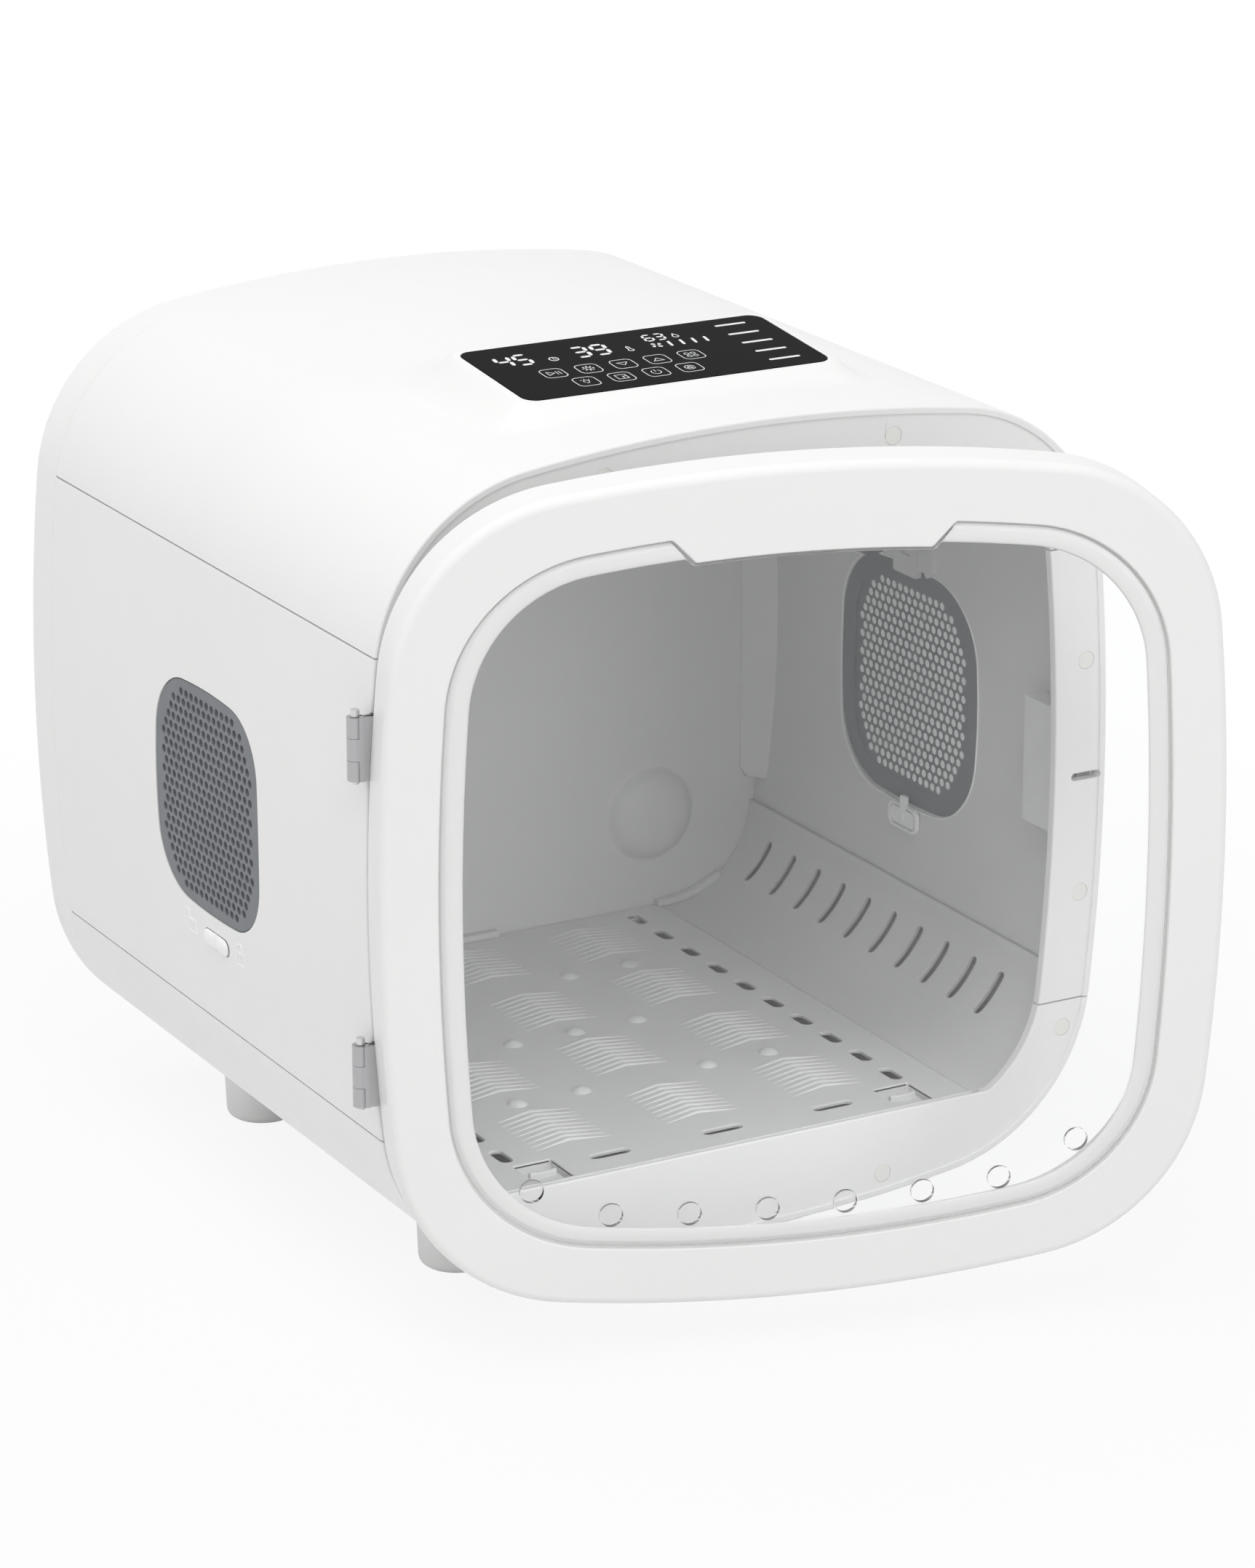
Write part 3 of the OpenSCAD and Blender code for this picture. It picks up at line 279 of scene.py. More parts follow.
def joined(*parts):
    """Several solids as one."""
    verts, faces, base = [], [], 0
    for v, f in parts:
        verts.append(np.asarray(v, float))
        faces += [tuple(k + base for k in face) for face in f]
        base += len(v)
    return np.vstack(verts), faces


def turned(part, side):
    """The solid as built for the right side, or mirrored for the left with side -1."""
    return part[0] * [side, 1, 1], part[1]


def both(part):
    return [turned(part, side) for side in (-1, 1)]


# -------- mesh objects
@contextmanager
def editing(mesh):
    """The mesh as a bmesh, which is written back at the end."""
    bm = bmesh.new()
    bm.from_mesh(mesh)
    yield bm
    bm.to_mesh(mesh)
    bm.free()


def weld(mesh, distance):
    with editing(mesh) as bm:
        bmesh.ops.remove_doubles(bm, verts=bm.verts, dist=distance)
        bmesh.ops.recalc_face_normals(bm, faces=bm.faces)


def add_object(name, data):
    obj = bpy.data.objects.new(name, data)
    bpy.context.scene.collection.objects.link(obj)
    return obj


def new_object(name, *parts):
    mesh = bpy.data.meshes.new(name)
    verts, faces = joined(*parts)
    mesh.from_pydata(verts.tolist(), [], faces)
    weld(mesh, 1e-4)
    return add_object(name, mesh)


def evaluated(obj):
    """Mesh of obj with its modifiers, or of a curve."""
    bpy.context.view_layer.update()
    return bpy.data.meshes.new_from_object(
        obj.evaluated_get(bpy.context.evaluated_depsgraph_get()))


def bake(obj):
    """Applies the modifiers of obj to its mesh."""
    mesh = evaluated(obj)
    obj.modifiers.clear()
    obj.data = mesh


def cut(obj, *parts, operation="DIFFERENCE"):
    """Takes solids away from obj."""
    for part in parts:
        tool = new_object("tool", part)
        m = obj.modifiers.new("cut", "BOOLEAN")
        m.operation, m.solver, m.object = operation, "EXACT", tool
        bake(obj)
        bpy.data.objects.remove(tool)


def soften(obj, width, angle=40, segments=2):
    """Rounds the edges of obj that turn by more than angle degrees."""
    m = obj.modifiers.new("edges", "BEVEL")
    m.width, m.segments, m.limit_method, m.angle_limit = width, segments, "ANGLE", radians(angle)
    m.use_clamp_overlap = True
    m.miter_outer = "MITER_ARC"
    bake(obj)


def plate(name, outer, holes, thick, edge=0.3, resolution=2):
    """Flat sheet on z = 0 with holes and rounded edges; the caller bends or turns it."""
    curve = bpy.data.curves.new(name, "CURVE")
    curve.dimensions, curve.fill_mode = "2D", "BOTH"
    curve.extrude, curve.bevel_depth = thick / 2 - edge, edge
    curve.bevel_resolution, curve.offset = resolution, -edge
    for points in [outer, *holes]:
        spline = curve.splines.new("POLY")
        spline.points.add(len(points) - 1)
        spline.points.foreach_set("co", [c for p in points for c in (p[0], p[1], 0, 1)])
        spline.use_cyclic_u = True
    obj = add_object(name, curve)
    mesh = evaluated(obj)
    bpy.data.objects.remove(obj)
    weld(mesh, 1e-3)
    return add_object(name, mesh)


def reshape(obj, fn):
    """Moves every vertex of obj to fn(points)."""
    points = np.array([v.co for v in obj.data.vertices])
    obj.data.vertices.foreach_set("co", np.ravel(fn(points)))
    with editing(obj.data) as bm:
        bmesh.ops.recalc_face_normals(bm, faces=bm.faces)


def slice_up(obj, axis, places):
    """Adds edges across obj at the given places, so that it can be bent."""
    normal = Matrix.Identity(3)[axis]
    with editing(obj.data) as bm:
        for place in places:
            bmesh.ops.bisect_plane(bm, geom=bm.verts[:] + bm.edges[:] + bm.faces[:], dist=1e-5,
                                   plane_co=normal * place, plane_no=normal)


def merge(name, *objects):
    """One object from several."""
    mesh = bpy.data.meshes.new(name)
    with editing(mesh) as bm:
        for o in objects:
            bm.from_mesh(o.data)
            bpy.data.objects.remove(o)
    return add_object(name, mesh)


def sided(side, name):
    return ("right_" if side > 0 else "left_") + name


def finish_piece(obj, slot, material=None, body="cabinet", place=None, smooth=32):
    """Shades obj, puts it into the part frame, gives it the material of its slot and hangs it under the empty of
    its body. A piece with .look after a node's name replaces that node."""
    obj.data.transform(place or (DOOR_AT if body == "door" else BODY_AT))
    obj.data.shade_smooth()
    obj.data.set_sharp_from_angle(angle=radians(smooth))
    # large faces keep their own direction and the small ones at their edges turn
    m = obj.modifiers.new("normals", "WEIGHTED_NORMAL")
    m.weight, m.keep_sharp = 80, True
    bake(obj)
    obj.data.materials.clear()
    obj.data.materials.append(material or BY_SLOT[slot])
    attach(obj, body)
    if obj.name.endswith(".look"):
        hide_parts(obj.name[:-len(".look")])


def piece(name, slot, *parts, cuts=(), edges=0, **more):
    """Builds, cuts, rounds and finishes one piece."""
    obj = new_object(name, *parts)
    cut(obj, *cuts)
    if edges:
        soften(obj, edges)
    finish_piece(obj, slot, **more)


# -------- materials
def add_node(tree, kind, *wires, **settings):
    """Adds a shader node. Each wire is an input with its value or the output it takes."""
    n = tree.nodes.new("ShaderNode" + kind)
    for key, value in settings.items():
        setattr(n, key, value)
    for socket, source in wires:
        if isinstance(source, bpy.types.NodeSocket):
            tree.links.new(source, n.inputs[socket])
        else:
            n.inputs[socket].default_value = source
    return n


def noise(tree, scale, detail=2, stretch=(1, 1, 1)):
    """Value of a noise in object coordinates, with scale in cycles per metre."""
    coords = add_node(tree, "TexCoord").outputs["Object"]
    mapping = add_node(tree, "Mapping", ("Vector", coords), ("Scale", stretch))
    return add_node(tree, "TexNoise", ("Vector", mapping.outputs["Vector"]),
                    ("Scale", scale), ("Detail", detail)).outputs["Fac"]


def between(tree, fac, low, high, start=0.3, end=0.7):
    return add_node(tree, "MapRange", ("Value", fac), ("From Min", start), ("From Max", end),
                    ("To Min", low), ("To Max", high)).outputs["Result"]


def finish(name, colour, rough, vary, grain, rough_vary=0.05, grain_scale=2600,
           stretch=(1, 1, 1), **fixed):
    """Moulded, cast or rolled surface: slow colour drift by the share vary, uneven gloss
    and a grain of this many millimetres. A single number as colour is a grey."""
    material = bpy.data.materials.new(name)
    material.use_nodes = True
    tree = material.node_tree
    shader = tree.nodes["Principled BSDF"]
    colour = np.array(colour) * (1, 1, 1)
    mix = add_node(tree, "Mix", (0, between(tree, noise(tree, 9, 3, stretch), 0, 1)),
                   (6, [*colour * (1 - vary), 1]),
                   (7, [*np.minimum(1, colour * (1 + vary)), 1]), data_type="RGBA")
    tree.links.new(mix.outputs[2], shader.inputs["Base Color"])
    gloss = between(tree, noise(tree, 60, 4, stretch), rough - rough_vary, rough + rough_vary)
    tree.links.new(gloss, shader.inputs["Roughness"])
    if grain:
        bump = add_node(tree, "Bump", ("Height", noise(tree, grain_scale, 2, stretch)),
                        ("Distance", grain * MM), ("Strength", 0.6))
        tree.links.new(bump.outputs["Normal"], shader.inputs["Normal"])
    for key, value in fixed.items():
        shader.inputs[key.replace("_", " ")].default_value = value
    return material


def let_lamps_through(material):
    """The lamps shine through clear acrylic without a dark shadow behind it."""
    tree = material.node_tree
    clear = add_node(tree, "BsdfTransparent", ("Color", (0.95, 0.955, 0.955, 1)))
    path = add_node(tree, "LightPath")
    mix = add_node(tree, "MixShader", (0, path.outputs["Is Shadow Ray"]),
                   (1, tree.nodes["Principled BSDF"].outputs[0]), (2, clear.outputs[0]))
    tree.links.new(mix.outputs[0], tree.nodes["Material Output"].inputs["Surface"])
    return material


# looks of the new pieces that differ from the usual look of their slot
DOOR_WHITE = finish("door_plastic", (0.90, 0.90, 0.895), 0.40, 0.006, 0.01)
# the bezel is a darker copy of the door white: painted shade on the ring round the window
SHADED_BEZEL = finish("bezel_plastic", (0.84, 0.84, 0.835), 0.42, 0.006, 0.01)
BRIGHT = finish("bright_paint", 0.97, 0.3, 0.004, 0)
# pale dust mesh; the same pale plastic on the lip round each grille paints a highlight line on the flange's edge
PALE_MESH_AND_HIGHLIGHT = finish("dust_mesh", 0.93, 0.8, 0.03, 0.05, grain_scale=1800)
DARK_STEEL = finish("magnet_steel", (0.45, 0.45, 0.46), 0.3, 0.05, 0.04, Metallic=1.0)
PRINT = finish("display_print", (0.86, 0.87, 0.88), 0.4, 0.01, 0)
KEY_PRINT = finish("key_print", (0.74, 0.75, 0.76), 0.4, 0.02, 0)
BY_SLOT = {
    "white_shell": finish("white_plastic", (0.90, 0.90, 0.895), 0.36, 0.006, 0.01),
    "liner_grey": finish("liner_plastic", 0.74, 0.55, 0.015, 0.02),
    "tray_grey": finish("tray_plastic", 0.79, 0.50, 0.015, 0.02),
    "grille_grey": finish("grille_plastic", (0.196, 0.207, 0.220), 0.55, 0.03, 0.02),
    "light_plastic": finish("light_plastic", 0.80, 0.45, 0.01, 0.01),
    # the feet are whiter than the shell: painted light that makes up for the shade under the body
    "foot_white": finish("foot_rubber", (0.96, 0.96, 0.955), 0.6, 0.015, 0.03, grain_scale=1400),
    "satin_steel": finish("satin_steel", (0.47, 0.47, 0.48), 0.30, 0.03, 0.006,
                          grain_scale=900, stretch=(6, 6, 0.2), Metallic=1.0),
    "chrome_pin": finish("chrome", (0.66, 0.66, 0.67), 0.10, 0.01, 0, 0.03, Metallic=1.0),
    "magnet": finish("magnet_cap", (0.875, 0.868, 0.84), 0.45, 0.02, 0.01),
    "display_black": finish("display_glass", (0.0035, 0.0035, 0.0037), 0.12, 0.1, 0, 0.03,
                            Specular_IOR_Level=0.01),
    "black_plastic": finish("black_plastic", (0.028, 0.028, 0.030), 0.5, 0.05, 0.04),
    "dark_plastic": finish("dark_plastic", (0.06, 0.062, 0.066), 0.55, 0.04, 0.04),
    "circuit_board": finish("circuit_board", (0.02, 0.14, 0.06), 0.4, 0.08, 0.03),
    "motor_steel": finish("motor_steel", (0.42, 0.43, 0.45), 0.35, 0.03, 0.04, Metallic=1.0),
    "heater_mica": finish("heater_mica", (0.62, 0.52, 0.34), 0.6, 0.08, 0.05),
    "heater_fins": finish("heater_fins", (0.66, 0.67, 0.69), 0.3, 0.04, 0.04, Metallic=1.0),
    "filter_foam": finish("filter_foam", (0.25, 0.27, 0.29), 0.95, 0.10, 0.6, grain_scale=700),
    "clear_window": let_lamps_through(finish("clear_acrylic", (0.985, 0.99, 0.99), 0.02, 0.004,
                                             0, 0.012, Transmission_Weight=1.0, IOR=1.49)),
}
for row in frame["record"]["subparts"]:
    mesh = frame["nodes"][row["node"]].data
    mesh.materials.clear()
    mesh.materials.append(BY_SLOT[row["material_slot"]])


# -------- outer shell
def mouth(points, inset):
    """Rim points with the flat lower edge of the mouth, for insets near the rim width."""
    points = np.array(points)
    if inset > 25:
        points[:, 1] = np.maximum(points[:, 1], MOUTH_Z - (RIM_W - inset))
    return points


def shell_part(draw, outer_rows=()):
    """Lofts the wall along the open drawing draw(inset), from the back seam round the
    front rim to the back, with extra rows on the skin."""
    profile = fillet([(SHELL, COVER_Y), (SHELL, RIM_D), (RIM_W, RIM_D), (RIM_W, RIM_SET),
                      (EDGE_W, RIM_SET), (EDGE_W, 0), (0, 0), (0, COVER_Y)],
                     [0, 0, 0.6, 1.0, 0, 0.35, 1.3, 0], n=3)
    rows = [*profile[:-1], *[(0, y) for y in outer_rows], profile[-1]]
    return loft(sweep(lambda inset: mouth(draw(inset), inset), rows),
                closed_u=False, closed_v=True)


def shell_piece(name, part, *cuts):
    """White piece of the outer shell, with slightly rounded edges."""
    piece(name, "white_shell", part, cuts=cuts, edges=0.35)


def at_magnets(*profile, n=32, wanted=lambda x, z: True):
    """Solid of revolution at the place of every wanted magnet."""
    return [lathe(profile, (x, 0, z), at_y, n) for x, z in MAGNETS if wanted(x, z)]


def magnet_cuts(wanted):
    """Seats of the wanted magnets in the rim."""
    return at_magnets((5.1, 0.5), (5.1, 4.5), wanted=wanted)


def hump(x, y):
    """Rise of the top cover round the display, over the crown."""
    half_w, half_d, corner, blunt = GLASS_W / 2 + 3.2, GLASS_D / 2 + 3, 7, 0.05
    plane = GLASS_Z + (y - GLASS_Y) * tan(GLASS_TILT) - 0.15
    # way out of the flat field to the sides, to the front and to the back, and its share of
    # the slope there
    out = np.array([np.abs(x) - half_w, GLASS_Y - y - half_d, y - GLASS_Y - half_d]) + corner
    out = np.maximum(out, 0)
    reach = np.linalg.norm(out.T / (24 + corner, 19 + corner, 48 + corner), axis=1)
    start = reach * corner / np.maximum(np.linalg.norm(out, axis=0), 1e-9)
    t = np.clip((reach - start) / np.maximum(1 - start, 1e-9), 0, 1)
    t = np.sqrt(t * t + blunt ** 2) - blunt
    fall = np.clip(1 - t / (sqrt(1 + blunt ** 2) - blunt), 0, 1) ** 1.9
    return np.maximum(plane - crown_z(x), 0) * fall


def build_top_cover():
    rows = [20, 40, *np.arange(50, 212, 1.8), 240, 300, 360]
    verts, faces = shell_part(
        lambda i: over_top(BODY, i, SEAM_TOP + SEAM, steps=(4, 26, 90)), rows)
    x, y, z = verts.T
    skin = (np.abs(crown_z(x) - z) < 0.02) & (y > 30) & (y < 230) & (np.abs(x) < 130)
    z[skin] += hump(x[skin], y[skin])
    seat, seat_faces = prism(rrect(GLASS_W + 0.7, GLASS_D + 0.7, 8.3, 8), at_z, -1.2, 6)
    seat = [GLASS_AT @ Vector(v) for v in seat]
    shell_piece("top_cover.look", (verts, faces), (seat, seat_faces),
                joined(*magnet_cuts(lambda x, z: z > SEAM_TOP)))


def vent_outline(grow, steps=(6, 12, 6)):
    a, b, rv, rh, rc = VENT
    points = all_round((a + grow, b + grow, rv, rh, rc + grow), steps=steps)
    return points + [VENT_Y, VENT_Z]


def build_side_panel(side):
    part, out = shell_part(lambda i: side_part(BODY, i, SEAM_SIDE - SEAM)), HALF_W + 5
    cuts = [turned(prism(vent_outline(0.7), at_x, HALF_W - 20, out), side),
            turned(prism(slot(31.5, 10.2) + [LOCK_Y, LOCK_Z], at_x, HALF_W - 4.3, out), side)]
    if side > 0:        # the slot of the door's tongue
        cuts.append(prism(slot(18.4, 4.5) + [HALF_W - 12.3, -1], at_y, -1, RIM_D + 1))
    else:               # the seats of the hinges
        half = HINGE_H / 2 + 0.4
        cuts += [block((-HALF_W - 2, -1, z - half), (-HALF_W + 21.4, RIM_SET, z + half))
                 for z in HINGE_Z]
    shell_piece(sided(side, "side_panel.look"), turned(part, side), *cuts,
                *magnet_cuts(lambda x, z: abs(z) < SEAM_SIDE and x * side > 0))


def build_bottom_shell():
    part = shell_part(lambda i: over_top(BODY, i, SEAM_TOP + SEAM, steps=(4, 30, 16)) * [1, -1])
    intake = [prism(slot(8, 22) + [k * 15, COVER_Y - 20], at_z, -HALF_H - 3, -HALF_H + 8)
              for k in range(-4, 5)]
    shell_piece("bottom_shell.look", part, *magnet_cuts(lambda x, z: z < -SEAM_TOP),
                block((-TRAY_HALF - 4, 3.4, SHELF_Z), (TRAY_HALF + 4, RIM_D + 1, MOUTH_Z + 1)),
                joined(*intake))


def build_back_cover():
    front = COVER_Y + 0.4
    inner = fillet([(18, DEPTH - SHELL), (SHELL, DEPTH - SHELL), (SHELL, front)],
                   [0, 6, 0], n=4, closed=False)
    outer = fillet([(SHELL, front), (0, front), (0, DEPTH), (14, DEPTH)],
                   [0, 0.4, 7.4, 0], n=8, closed=False)
    part = loft(sweep(lambda i: all_round(BODY, i), [*inner, *outer[1:]]))
    exhaust = [prism(slot(2 * sqrt(54 ** 2 - rise ** 2), 3.6) + [FAN_X, FAN_Z + rise],
                     at_y, DEPTH - 6, DEPTH + 2) for rise in range(-45, 46, 9)]
    inlet = prism(rrect(32.6, 26.6, 1.5) + [INLET_X, INLET_Z], at_y, DEPTH - 4.4, DEPTH + 2)
    boss = corner_centre(BODY) + (BODY[4] - 9) * np.array([cos(pi / 4), sin(pi / 4)])
    screws = [lathe([(4, DEPTH - 6), (4, DEPTH + 1)], (sx * boss[0], 0, sz * boss[1]), at_y, 32)
              for sx in (-1, 1) for sz in (-1, 1)]
    shell_piece("back_cover.look", part, joined(*exhaust), inlet, *screws)


# -------- chamber
def build_liner():
    front, back = LINER_Y
    rings = []
    for inset, y in ((LINER_IN - 2.1, front), (LINER_IN, front), (LINER_IN, back),
                     (LINER_IN - 2.1, back)):
        points = over_top(BODY, inset, ARC_Z - 8, steps=(10, 24, 16))
        points[:, 1] = np.minimum(points[:, 1], CEIL_Z + (0 if inset == LINER_IN else 2))
        rings.append(at_y(points, y))
    piece("chamber_liner.look", "liner_grey", loft(rings, closed_u=False, closed_v=True),
          cuts=both(prism(vent_outline(9), at_x, HALF_W - 30, HALF_W)), edges=0.5)


def build_back_wall():
    """Wall with its motor cap, the chamfered corners and the ridges behind the floor."""
    behind = WALL_Y + 0.5
    dome = [(31, 0.4), (29.8, 0), (28.9, -0.25), (28, -0.9), (27, -2.1), (25.4, -4), (23, -5.9),
            (19.6, -7.5), (15, -8.6), (9, -9.2), (0.01, -9.4)]
    parts = [prism(all_round(BODY, SHELL + 0.4, steps=(10, 20, 16)), at_y, WALL_Y, WALL_Y + 2.5),
             lathe([(r, WALL_Y + h) for r, h in dome], (FAN_X, 0, FAN_Z), at_y, 64)]
    low, round_in = FLOOR_Z + LOUVRE_R + 9.6, 3
    rings = []
    for z in np.linspace(low, CEIL_Z - 0.4, 60):
        x, start = wall_x(z, LINER_IN - 0.1), HALF_W - LINER_IN - 16
        room = round_in - sqrt(round_in ** 2 - max(0, round_in - (z - low)) ** 2)
        rings.append([(min(x, start + room), behind, z),
                      (min(x, start + room + 0.2), min(WALL_Y - 0.7, WALL_Y - 0.8 - room), z),
                      (x + 0.3, min(WALL_Y - 0.8, WALL_Y - 1 + start - x), z),
                      (x + 0.3, behind, z)])
    parts += both(loft(rings))
    # ridges of (depth, height) points: one in the middle and one up each louvre arc
    ridge = fillet([(0, 0), (0, 3.6), (6, 3.6), (6, 0)], [0, 1.4, 1.4, 0], n=3)
    parts.append(loft([[(x, WALL_Y - d + 0.3 if d else behind, FLOOR_Z + 0.3 + h)
                        for d, h in ridge] for x in (-35, 0, 35)]))
    rings = [[(ARC_X - 7, WALL_Y - d if d else behind, FLOOR_Z + 0.4 + h) for d, h in ridge]]
    for t in np.linspace(radians(-90), radians(-54), 12):
        rings.append([(ARC_X + (LOUVRE_R - 0.4 - h) * cos(t), WALL_Y - d if d else behind,
                       ARC_Z + (LOUVRE_R - 0.4 - h) * sin(t)) for d, h in ridge])
    parts += both(loft(rings))
    piece("back_wall.look", "liner_grey", *parts)


def build_louvre_panel(side):
    """Curved lower corner: a flat strip with slots, rolled onto its arc."""
    y0, y1 = LINER_Y
    top, pitch, lean = ARC_Z - 7, 28.4, 0.12
    arc = acos(7.5 / LOUVRE_R) * LOUVRE_R
    strip = -4.2            # its flat strip ends beside the tray
    slots = [slot(6.4, 28.6) @ [[1, 0], [-lean, 1]] + [72 + pitch * k, radians(53.5) * LOUVRE_R]
             for k in range(int((WALL_Y - 29 - 72) // pitch) + 1)]
    obj = plate("louvre", [(y0, strip), (y1, strip), (y1, arc), (y0, arc)], slots, 2.4)
    slice_up(obj, 1, np.arange(1, arc, 2.4))

    def roll(co):
        y, along, height = co.T
        t = along / LOUVRE_R - pi / 2
        r = LOUVRE_R + 1.2 + height - LOUVRE_IN * (np.clip(along, 0, arc) / arc) ** 2
        x = np.where(along < 0, ARC_X + along, ARC_X + r * np.cos(t))
        z = np.where(along < 0, ARC_Z - r, ARC_Z + r * np.sin(t))
        return np.stack([side * x, y, z], 1)

    reshape(obj, roll)
    # the upper edge rounds over into a ledge that runs out to the chamber wall
    x, wall = ARC_X + sqrt((LOUVRE_R - LOUVRE_IN) ** 2 - 7 ** 2), wall_x(top, LINER_IN) + 0.4
    section = fillet([(x - 0.9, top - 6), (x, top), (x + 1.4, top), (x + 2.2, top - 3.6),
                      (wall, top - 3.6), (wall, top - 6)], [0, 1.5, 0.6, 1, 0, 0], n=5)
    bead = new_object("bead", turned(prism(section, at_y, y0, y1), side))
    x0, x1 = sorted((side * (ARC_X - 14), side * ARC_X))
    ledge = new_object("ledge", block((x0, y0, SHELF_Z - 2), (x1, y1, SHELF_Z)))
    obj = merge(sided(side, "louvre_panel.look"), obj, bead, ledge)
    finish_piece(obj, "liner_grey", smooth=40)


def build_tray():
    """Removable floor: a slotted plate with rib fields, studs and two latch cups."""
    end, sides = WALL_Y - 0.4, (-1, 1)
    slots = [slot(7.5, 18) + [s * (TRAY_HALF - 24), 51.6 + 32 * k]
             for s in sides for k in range(int((WALL_Y - 17 - 51.6) // 32) + 1)]
    slots += [slot(24, 6.5) + [k * (TRAY_HALF - 77), 27] for k in (-1, 0, 1)]
    slots += [rrect(23, 27, 1.2, 3) + [s * LATCH_X, 22.5] for s in sides]
    outer = [(-TRAY_HALF, 3.8), (TRAY_HALF, 3.8), (TRAY_HALF, end), (-TRAY_HALF, end)]
    obj = plate("tray", outer, slots, 2.5, 0.7, 3)
    reshape(obj, lambda co: co + [0, 0, FLOOR_Z - 1.25])
    # a skirt, the cups of the latches and the raised front edge
    low = FLOOR_Z - 7
    parts = [wall_ring((-TRAY_HALF + 13.5, 12), (TRAY_HALF - 13.5, WALL_Y - 10), 2,
                       FLOOR_Z - 9.5, FLOOR_Z - 2.2)]
    for x in (-LATCH_X, LATCH_X):
        parts += [wall_ring((x - 13, 7.6), (x + 13, 37.5), 1.5, low, FLOOR_Z - 0.6),
                  block((x - 12.4, 8.2, low + 0.1), (x + 12.4, 36.9, low + 1.5))]
    edge = fillet([(6.2, -1), (6.2, 0.7), (8.2, 0.7), (8.2, -1)], [0, 0.6, 0.6, 0], n=3)
    parts.append(prism(edge + [0, FLOOR_Z], at_x, -TRAY_HALF, TRAY_HALF))
    extra = new_object("extra", *parts)
    soften(extra, 0.4)
    # fields of nine bent ribs, which run out at both ends, with studs between them
    field_x, field_y, ribs = TRAY_HALF - 66.5, 80, []
    fields = int((WALL_Y - 43 - 74) // field_y) + 1
    section = [(-1.1, -0.4), (-0.85, 0.45), (-0.45, 1.0), (0, 1.2), (0.45, 1.0), (0.85, 0.45),
               (1.1, -0.4)]
    line = [(-22.5, -3.1), (-1.6, 2.6), (0, 2.9), (1.6, 2.6), (22.5, -3.1)]
    for cx, cy in [(i * field_x, 74 + field_y * j + k * 45 / 8)
                   for i in (-1, 0, 1) for j in range(fields) for k in range(-4, 5)]:
        rings = []
        for u, v in line:
            slope, end = -0.27 * np.sign(u), 0.12 if abs(u) > 20 else 1
            rings.append([(cx + u - p * slope * end, cy + v + p * end,
                           FLOOR_Z + h * (end if h > 0 else 1)) for p, h in section])
        ribs.append(loft(rings))
    r, rise = 5.9, 2.6
    big = (r * r + rise * rise) / (2 * rise)
    stud = [(6.1, FLOOR_Z - 0.3)] + [
        (max(big * sin(t), 0.05), FLOOR_Z + rise - big + big * cos(t))
        for t in asin(r / big) * np.linspace(1, 0, 7)]
    four = (-1, -0.5, 0.5, 1)
    for k, across in zip(range(fields - 1), (four, (-0.5, 0, 0.5), four)):
        ribs += [lathe(stud, (x * field_x, 113 + field_y * k, 0), n=32) for x in across]
    obj = merge("floor_tray.look", obj, extra, new_object("ribs", *ribs))
    finish_piece(obj, "tray_grey", smooth=50)


def build_tray_latch(side):
    """Slide with a bowed finger grip."""
    x = side * LATCH_X
    section = fillet([(22.5, -4), (22.5, -0.1), (25, -0.1), (25, -4)], [0, 0.8, 0.8, 0], n=3)
    grip = loft([at_x(section - [1.2 * (1 - (u / 8) ** 2), -FLOOR_Z], x + u)
                 for u in np.linspace(-8, 8, 9)])
    piece(sided(side, "tray_latch.look"), "tray_grey",
          block((x - 9, 12, FLOOR_Z - 5.2), (x + 9, 26, FLOOR_Z - 3)),
          block((x - 5, 4, FLOOR_Z - 5), (x + 5, 12.5, FLOOR_Z - 3)), grip,
          edges=0.4, body=sided(side, "latch"))


# -------- vent grilles
VENT_ROWS = [11, 14, 15, 16, *[17, 18] * 6, 17, 16, 15, 14, 11]     # holes in each row


def build_grille(side):
    """Vent plate on its flange, the dust mesh just inside it and the lip round it."""
    def outline(grow):
        return vent_outline(grow, (10, 20, 10)) - [VENT_Y, VENT_Z]

    def sheet(grow, holes, depth, *sizes, bend=()):
        """Plate in the outline of the vent, stood up at the x that depth(z) says."""
        obj = plate("sheet", outline(grow), holes, *sizes)
        slice_up(obj, 1, bend)
        reshape(obj, lambda co: np.stack([side * (depth(co[:, 1] + VENT_Z) + co[:, 2]),
                                          co[:, 0] + VENT_Y, co[:, 1] + VENT_Z], 1))
        return obj

    pitch, row, hole = 6.42, 5.5, circle(2.3, 16)
    holes = [hole + [(i - (count - 1) / 2) * pitch, (10 - j) * row]
             for j, count in enumerate(VENT_ROWS) for i in range(count)]
    face = sheet(0, holes, lambda z: side_x(z) - 1.9, 3.1, 0.3, 2)
    flange = sheet(8.5, [outline(-3.5)], lambda z: HALF_W - 4.1, 2.2, 0.5, 3)
    mesh = sheet(-4, [], lambda z: side_x(z) - 3.1, 0.2, 0.05, 1, bend=range(-55, 56, 10))
    # the lip is pale to paint the highlight on the flange's edge
    lip = sheet(9.7, [outline(8.7)], lambda z: side_x(z, LINER_IN), 1.2, 0.3, 2)
    finish_piece(merge(sided(side, "grille_mesh"), mesh, lip), "light_plastic", PALE_MESH_AND_HIGHLIGHT)
    finish_piece(merge(sided(side, "vent_grille.look"), face, flange), "grille_grey", smooth=45)


